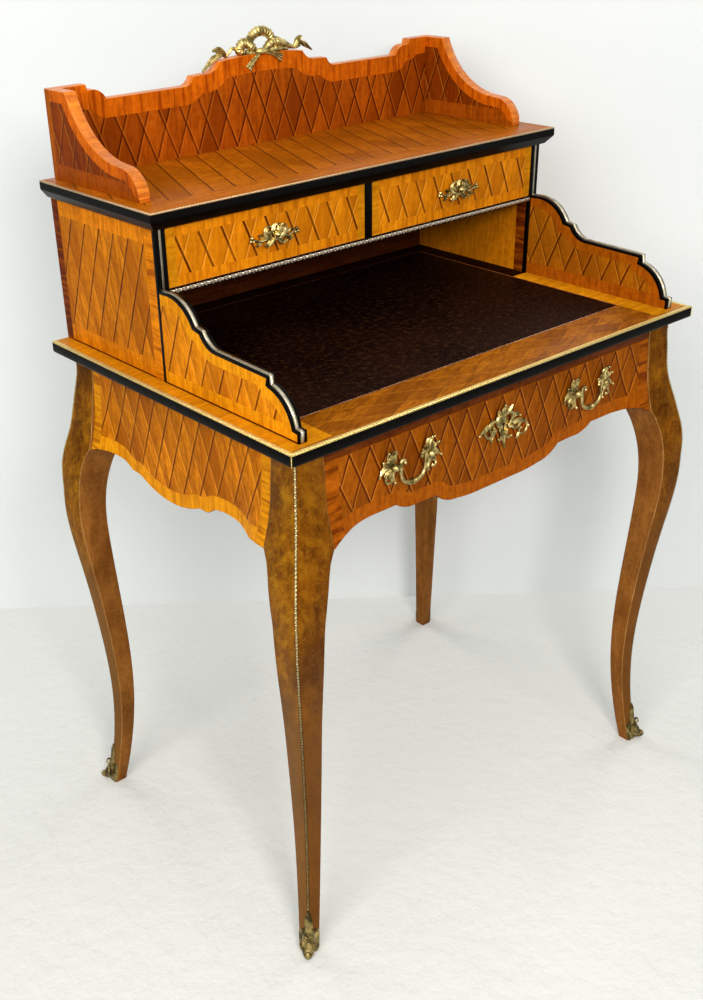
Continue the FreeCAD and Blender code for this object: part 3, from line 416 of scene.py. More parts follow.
plainSpec = {     # grain, dark, light, streak, foot, shine, gloss, stretch
    "goldUp": ("z", (0.56, 0.152, 0.0018), (0.86, 0.275, 0.005), (0.44, 0.11, 0.0016)),
    "caseUp": ("z", (0.48, 0.122, 0.0016), (0.78, 0.24, 0.004), (0.36, 0.084, 0.0014), 0.752),
    "wingUp": ("z", *brightTone, 0.752),
    "apronUp": ("z", *brightTone),
    "goldAcross": ("x", (0.46, 0.146, 0.0022), (0.72, 0.27, 0.005)),
    "goldBack": ("y", (0.5, 0.128, 0.0016), (0.8, 0.245, 0.004), (0.26, 0.045, 0.002)),
    "redUp": ("z", *redTone),
    "redAcross": ("x", *redTone, (0.1, 0.014, 0.001)),
    "redBack": ("y", (0.07, 0.009, 0.001), (0.17, 0.026, 0.0012), (0.3, 0.065, 0.0016)),
    "apronBack": ("y", (0.5, 0.165, 0.002), (0.8, 0.31, 0.005), (0.3, 0.066, 0.002)),
    "galleryUp": ("z", (0.44, 0.074, 0.0014), (0.7, 0.142, 0.003), (0.26, 0.032, 0.001)),
    "galleryAcross": ("x", (0.48, 0.1, 0.003), (0.8, 0.225, 0.01), None, None, 0.3),
    "galleryFoot": ("z", (0.22, 0.037, 0.0013), (0.4, 0.082, 0.0025)),
    "shelfFront": ("x", (0.3, 0.073, 0.0012), (0.51, 0.132, 0.003), None, None, 0.03),
    "recess": ("z", (0.42, 0.115, 0.0016), (0.68, 0.21, 0.004)),
    # dark carcase wood, darkened further as painted shade for the back of the recess and the faces inside and
    # underneath
    "carcase": ("x", (0.05, 0.009, 0.002), (0.12, 0.026, 0.005), None, None, 0.02, 0.4, 0.6),
    # near black: painted shade for the floor of the recess and the deck above it
    "dim": ("x", (0.006, 0.001, 0.0004), (0.02, 0.0042, 0.001), None, None, 0.02, 0.5, 0.6),
    "rail": ("x", (0.07, 0.012, 0.0015), (0.17, 0.036, 0.004), None, None, 0.02, 0.36, 0.6),
    "oakLong": ("y", *oakTone, None, None, 0.02, 0.55, 0.7),
    "oakWide": ("x", *oakTone, None, None, 0.02, 0.55, 0.7),
    "legEdge": ("z", (0.2, 0.08, 0.016), (0.4, 0.2, 0.06)),
}
legTones = {     # dark, light, patch, dusk, fleck, the plainer lower part
    "leg": ((0.11, 0.03, 0.0012), (0.27, 0.092, 0.0025), (0.4, 0.165, 0.004), (0.045, 0.011, 0.001), 0.32,
            ((0.15, 0.06, 0.011), (0.24, 0.1, 0.022))),
    # a darker copy for the faces across the front and back: painted shade, as the light falls from the side
    "legFront": ((0.1, 0.026, 0.0012), (0.225, 0.07, 0.0022), (0.3, 0.11, 0.0035), (0.04, 0.009, 0.001), 0.32,
                 ((0.125, 0.041, 0.006), (0.2, 0.07, 0.011))),
    # a lighter, flatter copy for the inner faces and the ends: painted light on faces that sit in shade
    "legInner": ((0.155, 0.049, 0.008), (0.285, 0.105, 0.019), (0.25, 0.089, 0.0125),
                 (0.115, 0.034, 0.0045), 0.3),
}
giltSpec = {     # bright, dull, age
    "cast": ((0.82, 0.63, 0.245), (0.135, 0.1, 0.028), 0.4),
    "foot": ((0.5, 0.37, 0.135), (0.075, 0.055, 0.018), 0.5),
    "line": ((0.9, 0.66, 0.48), (0.62, 0.38, 0.24), 0.2),
}
brassSpec = {     # bright, dull, pitch, depth, cut, fade, grime
    "rope": ((0.7, 0.55, 0.27), (0.09, 0.05, 0.01), 0.0036, 0.0004, 0.3, (0.34, 0.56), (0.27, 0.165, 0.05)),
    "cord": ((0.67, 0.45, 0.25), (0.18, 0.1, 0.035), 0.0042, 0.0008, 0.25),
    "strip": ((0.95, 0.7, 0.26), (0.24, 0.155, 0.028), 0.0044, 0.001, 0.35),
    "bead": ((0.86, 0.79, 0.64), (0.13, 0.09, 0.045), 0.0052, 0.0012, 0.34),
    "fillet": ((0.46, 0.41, 0.31), (0.24, 0.2, 0.12), 0.02, 0.0001),
}
finishes = {key: latticeVeneer(key + "Lattice", look) for key, look in latticeSpec.items()}
for maker, rows, ending in ((plainVeneer, plainSpec, "Veneer"), (legVeneer, legTones, "Veneer"),
                            (agedGilt, giltSpec, "Gilt"), (milledBrass, brassSpec, "Brass")):
    finishes.update({key: maker(key + ending, *row) for key, row in rows.items()})
finishes.update(black=ebonised(), leather=writingLeather(), iron=dullIron())
print("materials ready", len(finishes))


# Mesh helpers

tiny = 1e-6
flatAngle, cornerAngle = math.radians(0.2), math.radians(30)


def meshObject(name, bm, keys):
    mesh = bpy.data.meshes.new(name)
    bm.to_mesh(mesh)
    bm.free()
    for key in keys:
        mesh.materials.append(finishes[key])
    mesh.polygons.foreach_set("use_smooth", [True] * len(mesh.polygons))
    holder = bpy.data.objects.new(name, mesh)
    bpy.context.scene.collection.objects.link(holder)
    return holder


def newPiece(name, bm, keys, node, sharp=38):
    bmesh.ops.remove_doubles(bm, verts=bm.verts, dist=tiny)
    bmesh.ops.dissolve_degenerate(bm, dist=tiny, edges=bm.edges)
    bmesh.ops.recalc_face_normals(bm, faces=bm.faces)
    piece = meshObject(name, bm, keys)
    piece.data.set_sharp_from_angle(angle=math.radians(sharp))
    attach(piece, cadNodes[node]["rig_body"])
    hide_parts(node)


def loft(bm, sections, caps=True, paint=None):
    rings = [[bm.verts.new(point) for point in section] for section in sections]
    count = len(rings[0])
    for row, (ring, following) in enumerate(zip(rings, rings[1:])):
        for i in range(count):
            j = (i + 1) % count
            face = bm.faces.new((ring[i], ring[j], following[j], following[i]))
            face.material_index = paint(row, i) if paint else 0
    if caps:
        for ring in (rings[0], rings[-1]):
            bm.faces.new(ring).material_index = paint(-1, 0) if paint else 0


def boardFrom(node, name, keys, paint=None, edge=0.6 * mm, cuts=()):
    bm = bmesh.new()
    bm.from_mesh(cadNodes[node].data)
    bmesh.ops.remove_doubles(bm, verts=bm.verts, dist=tiny)
    bmesh.ops.dissolve_limit(bm, angle_limit=flatAngle, verts=bm.verts, edges=bm.edges)
    for spot, normal in cuts:
        whole = bm.verts[:] + bm.edges[:] + bm.faces[:]
        bmesh.ops.bisect_plane(bm, geom=whole, plane_co=spot, plane_no=normal)
    sharp = [e for e in bm.edges if len(e.link_faces) == 2 and e.calc_face_angle(0) > cornerAngle]
    bmesh.ops.bevel(bm, geom=sharp, offset=edge, segments=2, profile=0.6, affect="EDGES", clamp_overlap=True)
    bmesh.ops.recalc_face_normals(bm, faces=bm.faces)
    bm.normal_update()
    for face in bm.faces:
        face.material_index = paint(face.calc_center_median(), face.normal) if paint else 0
    newPiece(name, bm, keys, node)


def solidOf(node):
    mesh = cadNodes[node].data
    return BVHTree.FromPolygons([v.co for v in mesh.vertices], [p.vertices[:] for p in mesh.polygons])


def outlineOf(node, axis, depth, marks=(), step=3 * mm):
    # rows: place along the axis, lower edge and upper edge
    nudge, margin, closest = 0.03 * mm, 0.02 * mm, 0.04 * mm
    below, above = -1.0, 3.0     # starts of the rays
    solid = solidOf(node)
    values = sorted({round(v.co[axis], 5) for v in cadNodes[node].data.vertices})
    low, high = values[0], values[-1]
    count = max(2, int((high - low) / step))
    wanted = [low + (high - low) * i / count for i in range(count + 1)] + list(marks)
    wanted += [value + shift for value in values for shift in (-nudge, nudge)]
    rows = []
    for value in sorted(min(max(w, low + margin), high - margin) for w in wanted):
        if rows and value - rows[-1][0] < closest:
            continue
        spot = [value, depth] if axis == 0 else [depth, value]
        under = solid.ray_cast(Vector((*spot, below)), Vector((0, 0, 1)))[0]
        over = solid.ray_cast(Vector((*spot, above)), Vector((0, 0, -1)))[0]
        if under and over:
            rows.append((value, under.z, over.z))
    return rows


def inset(rows, width, column, sign):
    # the edge in that column, moved in by a width at right angles
    if width <= 0:
        return [row[column] for row in rows]
    return [sign * max(sign * row[column] + math.sqrt(width * width - (row[0] - value) ** 2)
                       for row in rows if abs(row[0] - value) <= width) for value, *_ in rows]


def panelLook(field, band=None, end=None, farEnd=None, edge=None, low=None):
    band = band or field
    end = end or band
    return {"low": low or band, "field": field, "high": band, "end": end, "farEnd": farEnd or end,
            "edge": edge or band}


def shapedPanel(node, name, spec, front, rear=None):
    # a veneered board with its outline read from the solid: bands along the edges, a field between them
    rear = rear or front
    axis, ends = spec["axis"], spec.get("ends", (0, 0))
    edge, steps, sweep = spec.get("edge", 0.5 * mm), spec.get("steps", 1), spec.get("sweep", 0)
    low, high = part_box(node)
    near, far = low[1 - axis], high[1 - axis]
    if spec.get("flip"):
        near, far = far, near
    lean = 1 if far > near else -1
    nearIn, farIn = near + lean * edge, far - lean * edge
    borders = (low[axis] + ends[0], high[axis] - ends[1])
    rows = outlineOf(node, axis, near + lean * spec.get("probe", 1.5 * mm), borders)
    if "tips" in spec:     # the lower corners are lifted
        tip, steep, curve = spec["tips"]
        lifts = [(corner[0], max(0, tip - corner[1])) for corner in (rows[0], rows[-1])]
        rows = [(value, bottom + sum(lift * max(0, 1 - abs(value - corner) / sweep * steep) ** curve
                                     for corner, lift in lifts), top) for value, bottom, top in rows]
    lowIn, highIn = inset(rows, spec.get("low", 0), 1, 1), inset(rows, spec.get("high", 0), 2, -1)

    def bowed(value, depth, height):
        # the ends of a frieze sweep out to the knees of the legs
        gap = min(value - low[axis], high[axis] - value)
        if not sweep or gap >= sweep:
            return depth, height
        share = 1 - gap / sweep
        swell = max(0, abs(legAt(arrises[0], height)[0]) - kneeLine)
        return depth - lean * swell * share * share * (3 - 2 * share), height

    def section(value, i, rim):
        face, back = (nearIn, farIn) if rim else (near, far)
        bottom, top = rows[i][1:]
        foot, head = bottom + edge, top - edge
        lower, upper = max(lowIn[i], foot), min(highIn[i], head)
        if lower > upper:
            lower = upper = min(max((lower + upper) / 2, foot), head)
        tips = (foot, head) if rim else (bottom, top)
        levels = [foot] + [lower + (upper - lower) * k / steps for k in range(steps + 1)] + [head]
        loop = [bowed(value, face, level) for level in levels]
        loop += [bowed(value, nearIn, tips[1]), (farIn, tips[1]), (back, head), (back, upper), (back, lower),
                 (back, foot), (farIn, tips[0]), bowed(value, nearIn, tips[0])]
        return [(value, depth, height) if axis == 0 else (depth, value, height) for depth, height in loop]

    stops = [(low[axis], 0, True)]
    stops += [(min(max(row[0], low[axis] + edge), high[axis] - edge), i, False) for i, row in enumerate(rows)]
    stops.append((high[axis], -1, True))
    keys = list(dict.fromkeys([*front.values(), *rear.values()]))
    strips = [(front, key) for key in ("low", *["field"] * steps, "high", "edge", "edge", "edge")]
    strips += [(rear, key) for key in ("high", "field", "low", "edge", "edge", "edge")]

    def paint(row, i):
        table, key = strips[i] if row >= 0 else (front, "edge")
        middle = (stops[row][0] + stops[row + 1][0]) / 2
        if key != "edge" and not borders[0] < middle < borders[1]:
            key = "end" if middle < borders[0] else "farEnd"
        return keys.index(table[key])

    bm = bmesh.new()
    loft(bm, [section(*stop) for stop in stops], paint=paint)
    newPiece(name, bm, keys, node)


def sweptBar(path, profile, paint=None):
    # path rows: x, y and the inward step of x and y; profile rows: inward offset and height in millimetres
    bm = bmesh.new()
    loft(bm, [[(x + inX * offset * mm, y + inY * offset * mm, z * mm) for offset, z in profile]
              for x, y, inX, inY in path], paint=paint)
    return bm


def tube(bm, points, radius, sides=10, flat=1.0, twist=None):
    # twist: depth, strands and lay of a rope
    points = [Vector(p) for p in points]
    count = len(points)
    radii = radius if isinstance(radius, list) else [radius] * count
    side = (points[1] - points[0]).normalized().orthogonal().normalized()
    sections, run = [], 0.0
    for i, spot in enumerate(points):
        along = (points[min(i + 1, count - 1)] - points[max(i - 1, 0)]).normalized()
        side = (side - along * side.dot(along)).normalized()
        other = along.cross(side)
        run += (spot - points[i - 1]).length if i else 0
        ring = []
        for k in range(sides):
            turn = 2 * math.pi * k / sides
            size = radii[i]
            if twist:
                size *= 1 + twist[0] * math.sin(twist[1] * turn + 2 * math.pi * run / twist[2])
            ring.append(spot + side * math.cos(turn) * size + other * math.sin(turn) * size * flat)
        sections.append(ring)
    loft(bm, sections)


# Legs and their brass

legSpec = {"round": 1.1 * mm, "notch": 3 * mm, "line": 1.0 * mm, "steps": 96, "trim": 0.2 * mm, "beside": 0.7,
           "top": (320.5 * mm, 211.5 * mm), "rope": 1.45 * mm, "ropeFoot": 62 * mm, "sink": 1.5 * mm,
           "lay": (0.22, 2, 5.2 * mm),
           "paint": {0: 1, 1: 1, 12: 1, 13: 1, 4: 3, 5: 3, 10: 3, 11: 3, 6: 2, 7: 2, 8: 2, 9: 2},
           "knee": {-1: [(655 * mm, 50 * mm, -3.6 * mm), (565 * mm, 48 * mm, 2.6 * mm)],
                    1: [(580 * mm, 55 * mm, 3.6 * mm)]}}


def legRows(node, signX, signY):
    solid = solidOf(node)
    low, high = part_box(node)
    bottom, top = low.z + legSpec["trim"], high.z - legSpec["trim"]
    middle = [signX * legSpec["top"][0], signY * legSpec["top"][1]]
    rows = []
    for i in range(legSpec["steps"] + 1):
        z = top - (top - bottom) * i / legSpec["steps"]
        ends = []
        for axis, sign in ((0, signX), (1, signY)):
            start = [*middle, z]
            way = Vector((0, 0, 0))
            way[axis] = -sign
            start[axis] = sign * legSpec["beside"]
            outer = solid.ray_cast(Vector(start), way)[0][axis]
            start[axis] = 0.0
            inner = solid.ray_cast(Vector(start), -way)[0][axis]
            ends += [outer, inner]
        middle = [(ends[0] + ends[1]) / 2, (ends[2] + ends[3]) / 2]
        rows.append((z, *ends))
    return rows


def kneeTurn(z, signY):
    # height, reach and depth of each turn that the knee takes outside the plain curve
    return sum(depth * max(0, 1 - ((z - height) / reach) ** 2) ** 2
               for height, reach, depth in legSpec["knee"][signY])


def dressLeg(node, name, signX, signY):
    # gives the run of the outer arris: height, x, y and the width of the narrower face
    rows = [(z, outX + signX * kneeTurn(z, signY), inX, outY + signY * kneeTurn(z, signY), inY)
            for z, outX, inX, outY, inY in legRows(node, signX, signY)]
    soft, notch, line = legSpec["round"], legSpec["notch"], legSpec["line"]
    tip = soft * 0.3
    sections = []
    for z, outX, inX, outY, inY in rows:
        ox, ix, oy, iy = outX * signX, inX * signX, outY * signY, inY * signY
        loop = [(ox - notch, oy), (ox - notch, oy - notch), (ox, oy - notch), (ox, oy - notch - line),
                (ox, iy + soft), (ox - tip, iy + tip), (ox - soft, iy), (ix + soft, iy), (ix + tip, iy + tip),
                (ix, iy + soft), (ix, oy - soft), (ix + tip, oy - tip), (ix + soft, oy),
                (ox - notch - line, oy)]
        sections.append([(x * signX, y * signY, z) for x, y in loop])
    bm = bmesh.new()
    # the faces across the front and back take the shaded copy, the inner faces and the ends the lit copy:
    # painted light and shade
    loft(bm, sections, paint=lambda row, i: legSpec["paint"].get(i, 0) if row >= 0 else 2)
    newPiece(name, bm, ["leg", "legFront", "legInner", "legEdge"], node, sharp=32)
    return [(z, outX - signX * legSpec["sink"], outY - signY * legSpec["sink"],
             min(abs(outX - inX), abs(outY - inY))) for z, outX, inX, outY, inY in rows]


def divided(points, parts):
    out = []
    for first, second in zip(points, points[1:]):
        out += [first.lerp(second, k / parts) for k in range(parts)]
    return out + points[-1:]


def legAt(rows, z):
    for first, second in zip(rows, rows[1:]):
        if second[0] <= z <= first[0]:
            share = (first[0] - z) / max(first[0] - second[0], 1e-9)
            return [first[i] + (second[i] - first[i]) * share for i in (1, 2, 3)]
    return list(rows[-1][1:])


arrises = [dressLeg("leg_%s_%s" % (end, side), "veneeredLeg_%s_%s" % (end, side), signX, signY)
           for side, signX in hands for end, signY in (("front", -1), ("back", 1))]
bm = bmesh.new()
for rows in arrises:
    run = divided([Vector((x, y, z)) for z, x, y, face in rows if z > legSpec["ropeFoot"]], 9)
    tube(bm, run, legSpec["rope"], 8, twist=legSpec["lay"])
newPiece("milledLegStrips", bm, ["rope"], "leg_brass_strips", sharp=60)
print("legs ready")


# Shaped friezes

kneeLine = 340.5 * mm
backSpec = {"axis": 0, "flip": True, "sweep": 75 * mm, "steps": 8}
friezeSpec = {"low": 19 * mm, "ends": (17 * mm, 17 * mm), "sweep": 75 * mm, "steps": 8,
              "tips": (610 * mm, 1.4, 1.5)}
sideBands = panelLook("apron", "apronUp", "apronBack", edge="goldUp")
# the inner faces in the darkened carcase wood: partly painted shade
innerWood = panelLook("carcase")
for side, signX in hands:
    shapedPanel("apron_" + side, "veneeredApron" + side.title(),
                dict(friezeSpec, axis=1, flip=signX > 0), sideBands, innerWood)
shapedPanel("apron_back", "backApron", backSpec, innerWood)
shapedPanel("frieze_drawer_front", "veneeredFriezeFront",
            dict(friezeSpec, axis=0, ends=(20 * mm, 20 * mm)), panelLook("frieze", "redUp", "redAcross"),
            innerWood)
boardFrom("front_top_rail", "frontTopRail", ["rail"], edge=0.4 * mm)
print("friezes ready")


# Table top

topSpec = {"line": (0.5 * mm, 2.2 * mm), "side": 294 * mm, "recess": (325 * mm, 16 * mm)}
leatherLow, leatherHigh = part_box("writing_leather")
acrossWay, depthWay = Vector((1, 0, 0)), Vector((0, 1, 0))


def leatherPaint(spot, normal):
    gap = min(min(spot[i] - leatherLow[i], leatherHigh[i] - spot[i]) for i in (0, 1))
    return 1 if topSpec["line"][0] < gap < topSpec["line"][1] and normal.z > 0.5 else 0


def topPaint(spot, normal):
    if normal.z < 0.5:
        return 2
    # the floor of the recess is painted near black as shade
    if spot.y > topSpec["recess"][1] and abs(spot.x) < topSpec["recess"][0]:
        return 3
    return 1 if abs(spot.x) > topSpec["side"] else 0


lineCuts = []
for offset in topSpec["line"]:
    for i, way in enumerate((acrossWay, depthWay)):
        lineCuts += [(way * (leatherLow[i] + offset), way), (way * (leatherHigh[i] - offset), way)]
topCuts = [(acrossWay * sign * x, acrossWay) for sign in (-1, 1)
           for x in (topSpec["side"], topSpec["recess"][0])]
topCuts.append((depthWay * topSpec["recess"][1], depthWay))
boardFrom("table_top", "veneeredTableTop", ["top", "goldAcross", "rail", "dim"], topPaint,
          0.2 * mm, topCuts)
boardFrom("writing_leather", "writingLeather", ["leather", "line"], leatherPaint, 0.3 * mm,
          lineCuts)


def edgePath(half, front, back):
    return [(-half, back, 1, 0), (-half, front, 1, 1), (half, front, -1, 1), (half, back, -1, 0)]


tableEdge = {"path": edgePath(362 * mm, -253 * mm, 253 * mm), "corner": (361.7 * mm, -252.7 * mm, 0.7 * mm),
             "moulding": [(10, 734), (3.2, 734), (1.4, 734.9), (0.3, 736.6), (0, 738), (0, 747.6),
                          (0.4, 748.5), (6.4, 748.5), (6.4, 750), (10, 750)],
             "strip": [(0.2, 748.4), (0, 748.9), (0.5, 749.9), (1.7, 750.5), (5, 750.5), (6.2, 750.2),
                       (6.6, 749.8), (6.6, 748.4)]}
bm = sweptBar(tableEdge["path"], tableEdge["moulding"],
              lambda row, i: 0 if i != 8 or row < 0 else (1 if row == 1 else 2))
newPiece("ebonisedTableEdge", bm, ["black", "top", "goldAcross"], "top_edge_mouldings",
         sharp=30)
bm = sweptBar(tableEdge["path"], tableEdge["strip"])
cornerX, cornerY, cornerRadius = tableEdge["corner"]
for sign in (-1, 1):
    tube(bm, [(sign * cornerX, cornerY, z * mm) for z in (735.6, 739, 743, 748.6)], cornerRadius, 8)
newPiece("milledTableStrip", bm, ["strip"], "top_brass_strips", sharp=50)
print("table top ready")


# Case with its recess, drawers and shelf

caseSpec = {"axis": 1, "low": 23 * mm, "high": 21 * mm, "ends": (17 * mm, 16 * mm), "edge": 0.4 * mm}
for side, signX in hands:
    shapedPanel("case_side_" + side, "veneeredCase" + side.title(), dict(caseSpec, flip=signX > 0),
                panelLook("side", "caseUp", "goldBack", "redBack", "goldUp"),
                panelLook("recess", "recess", "redBack", "recess", "goldUp"))
# the back of the recess in the darkened carcase wood: partly painted shade
boardFrom("case_back", "caseBack", ["carcase"])
# the deck in the near-black painted shade of the recess
boardFrom("case_deck", "caseDeck", ["dim"], edge=0.3 * mm)
boardFrom("case_divider", "caseDivider", ["black"], edge=0.5 * mm)
boardFrom("case_stiles", "caseStiles", ["black"], edge=0.5 * mm)
boardFrom("stile_brass_fillets", "stileFillets", ["fillet"], edge=0.35 * mm)
beadSpec = {"half": 322 * mm, "steps": 700, "depth": 17.9 * mm, "height": 860 * mm, "radius": 2.5 * mm,
            "lay": (0.16, 2, 10.4 * mm)}
bm = bmesh.new()
tube(bm, [(beadSpec["half"] * (2 * i / beadSpec["steps"] - 1), beadSpec["depth"], beadSpec["height"])
          for i in range(beadSpec["steps"] + 1)], beadSpec["radius"], 10, twist=beadSpec["lay"])
newPiece("deckRopeBead", bm, ["bead"], "deck_brass_bead", sharp=70)
drawerSpec = {"axis": 0, "low": 13 * mm, "high": 13 * mm, "ends": (13 * mm, 13 * mm), "edge": 0.5 * mm}
for side, signX in hands:
    shapedPanel("upper_%s_drawer_front" % side, "veneeredDrawer_" + side, drawerSpec,
                panelLook("drawer_" + side, "goldUp", "goldAcross"), panelLook("oakWide"))
shelfEdge = {"path": edgePath(350 * mm, 2 * mm, 253 * mm), "band": 42 * mm,
             "moulding": [(10, 938), (9, 938), (0.6, 948.2), (0, 949.2), (0, 957.8), (0.4, 958.5),
                          (3.6, 958.5), (3.6, 960), (10, 960)],
             "strip": [(0.2, 958.4), (0, 958.9), (0.5, 960), (1.5, 960.4), (3, 960.3), (3.8, 959.8),
                       (3.8, 958.4)]}
boardFrom("shelf_board", "veneeredShelf", ["shelf", "shelfFront", "carcase"],
          lambda spot, normal: 2 if normal.z < 0.5 else (1 if spot.y < shelfEdge["band"] else 0), 0.2 * mm,
          [(depthWay * shelfEdge["band"], depthWay)])
bm = sweptBar(shelfEdge["path"], shelfEdge["moulding"], lambda row, i: 1 if i == 7 and row >= 0 else 0)
newPiece("ebonisedShelfEdge", bm, ["black", "shelfFront"], "shelf_edge_mouldings", sharp=30)
bm = sweptBar(shelfEdge["path"], shelfEdge["strip"])
newPiece("milledShelfStrip", bm, ["cord"], "shelf_brass_strips", sharp=50)
print("case ready")


# Wings

wingSpec = {"axis": 1, "low": 17 * mm, "high": 13 * mm, "edge": 0.3 * mm, "probe": 6 * mm}
filletSpec = {"probe": 327.2 * mm, "out": 332 * mm, "foot": (1.2 * mm, 751 * mm), "sink": 0.8 * mm,
              "gap": 0.8 * mm, "radius": 2.7 * mm}
fillets = bmesh.new()
for side, signX in hands:
    shapedPanel("wing_" + side, "veneeredWing_" + side, dict(wingSpec, flip=signX > 0),
                panelLook("wing", "wingUp", edge="black"), panelLook("wingInner", "redUp", edge="black"))
    boardFrom("wing_lip_" + side, "wingLip_" + side, ["black"], edge=0.35 * mm)
    rows = outlineOf("wing_lip_" + side, 1, signX * filletSpec["probe"])
    run = [Vector((signX * filletSpec["out"], rows[0][0] + filletSpec["foot"][0], filletSpec["foot"][1]))]
    for value, under, over in rows:
        spot = Vector((signX * filletSpec["out"], value, over - filletSpec["sink"]))
        if (spot - run[-1]).length > filletSpec["gap"]:
            run.append(spot)
    tube(fillets, run, filletSpec["radius"], 10)
newPiece("wingFillets", fillets, ["fillet"], "wing_brass_fillets", sharp=60)
print("wings ready")


# Gallery

gallerySpec = {"axis": 0, "high": 23 * mm, "edge": 0.6 * mm}
galleryEnd = {"axis": 1, "low": 20 * mm, "high": 14 * mm, "ends": (0, 12 * mm), "edge": 0.8 * mm}
shapedPanel("gallery_back", "veneeredGalleryBack", gallerySpec,
            panelLook("gallery", "galleryUp", edge="galleryAcross"),
            panelLook("carcase", edge="galleryAcross"))
for side, signX in hands:
    shapedPanel("gallery_" + side, "veneeredGallery_" + side,
                dict(galleryEnd, flip=signX > 0),
                panelLook("gallerySide", "galleryUp", "galleryUp", "redUp", "galleryAcross", "galleryFoot"))
print("gallery ready")


# Cast mounts

def smoothRun(rows, each):
    out = []
    for i in range(len(rows) - 1):
        four = [rows[max(i - 1, 0)], rows[i], rows[i + 1], rows[min(i + 2, len(rows) - 1)]]
        for k in range(each):
            t = k / each
            out.append([0.5 * (2 * b + (c - a) * t + (2 * a - 5 * b + 4 * c - d) * t * t
                               + (3 * b - a - 3 * c + d) * t ** 3) for a, b, c, d in zip(*four)])
    return out + [list(rows[-1])]


def mountFrame(origin, across, outward):
    # gives a function from millimetres across, up and out to a place in the scene
    origin, across, outward, upward = Vector(origin), Vector(across), Vector(outward), Vector((0, 0, 1))
    return lambda u, v, w: origin + (across * u + upward * v + outward * w) * mm


def frontMount(x, y, z, way=1):
    return mountFrame(Vector((x, y, z)) * mm, (way, 0, 0), (0, -1, 0))


def scrollBar(bm, at, rows, sides, each, flat=1.0):
    # rows: across, up, out and radius
    run = smoothRun(rows, each)
    tube(bm, [at(*row[:3]) for row in run], [max(row[3], 0.25) * mm for row in run], sides, flat)


def bead(bm, at, u, v, w, radius):
    # a small turned bead with a nipple
    rings = []
    for k in range(7):
        turn = math.pi * (k + 0.3) / 6.6
        high = -math.cos(turn) * radius + (0.18 * radius if k == 6 else 0)
        wide = math.sin(turn) * radius
        rings.append([at(u + wide * math.cos(a), v + wide * math.sin(a), w + high)
                      for a in [2 * math.pi * i / 10 for i in range(10)]])
    loft(bm, rings)


def leafBlade(bm, at, rows, lobes=3, ridge=1.4, thick=1.6):
    # rows along the midrib: across, up, out and half width
    run = smoothRun(rows, 5)
    sections = []
    for i, (u, v, w, half) in enumerate(run):
        ahead, behind = run[min(i + 1, len(run) - 1)], run[max(i - 1, 0)]
        du, dv = ahead[0] - behind[0], ahead[1] - behind[1]
        size = math.hypot(du, dv) or 1.0
        half = max(half, 0.3) * (0.76 + 0.24 * abs(math.cos(math.pi * lobes * i / (len(run) - 1))))
        crown = ridge * min(1, half / 2.5)
        ring = [(s, h * crown) for s, h in ((-1, -0.2), (-0.62, 0.55), (-0.28, 0.2), (0, 1), (0.28, 0.2),
                                            (0.62, 0.55), (1, -0.2))]
        ring += [(s, -thick) for s in (0.7, 0, -0.7)]
        su, sv = -dv / size * half, du / size * half
        sections.append([at(u + su * s, v + sv * s, w + rise) for s, rise in ring])
    loft(bm, sections)


def foliage(bm, at, spec, each, wide=1.0, tall=1.0):
    def spread(rows):
        return [(u * wide, v * tall, w, r) for u, v, w, r in rows]
    for rows in spec["leaves"]:
        leafBlade(bm, at, spread(rows))
    for rows in spec["scrolls"]:
        scrollBar(bm, at, spread(rows), 8, each)
    for row in spread(spec["beads"]):
        bead(bm, at, *row)


def giltPiece(name, bm, node, look="cast"):
    # the black second slot serves the painted shade behind the keyhole
    newPiece(name, bm, [look, "black"], node, sharp=42)


# Drop handles: leafy posts on the drawer, a swan-neck bail that swings

handleSpec = {
    "middle": 167, "height": 679, "face": -232, "post": 30, "spread": (1.28, 0.8),
    "knob": (0, 0, 10, 5.2), "curl": (13.8, 1.6, 10, 2.3),
    "leaves": [
        [(0, 3, 7, 3.5), (1, 10, 6, 6.5), (3, 17, 4.5, 5), (6, 24, 6, 1)],
        [(-1, 4, 6, 2.5), (-3.5, 10, 5, 3.2), (-4, 16, 6.5, 1)],
        [(0, -3, 7, 3.5), (1, -10, 6, 6), (0, -17, 5, 5), (-2, -25, 7, 1.2)],
        [(2, 0, 6, 3), (8, -1, 4.5, 5), (12, -5, 4, 3.5), (16, -10, 5.5, 0.8)],
        [(2, 4, 6, 2.5), (8, 7, 4.5, 4), (12, 12, 6, 0.8)],
        [(2, -6, 6, 2.5), (7, -11, 4.5, 4), (9, -18, 6, 0.8)],
    ],
    "scrolls": [
        [(-1, 14, 5, 1.2), (-4, 19, 6, 1.7), (-2, 24, 7, 1.6), (2, 24, 7.5, 1.3), (2, 21, 8, 1.1)],
        [(5, -14, 5, 1.2), (9, -18, 6, 1.7), (7, -23, 7, 1.6), (3, -23, 7.5, 1.3), (4, -20, 8, 1.1)],
    ],
    "beads": [(6, 24.5, 7, 2.0), (-2, -26, 7.5, 2.3), (16.5, -10.5, 6, 1.8), (12.5, 12.5, 6.5, 1.7),
              (5, 15, 6.5, 1.6)],
    "bail": [(-13.6, 2.6, 10, 1.5), (-14.6, 5.4, 10, 1.9), (-18, 6.6, 10, 2.1), (-20.6, 3.6, 10, 2.3),
             (-20.6, -3, 10, 2.5), (-20.2, -12, 10, 2.4), (-16.6, -20.6, 10, 2.5), (-9, -25.4, 10, 2.9),
             (0, -26.8, 10, 3.3)],
    "stem": [(0, 0, 0.1, 7.5), (0, 0, 2, 7), (0, 0, 3.4, 4.4), (0, 0, 6, 3.4), (0, 0, 8, 4.6)],
    "pin": [(20.6, 3.2), (22.6, 3.0), (23.4, 1.5), (26.4, 1.5)],
    "rings": [(-3, 3.7), (0, 4.0), (3, 3.7)],
}
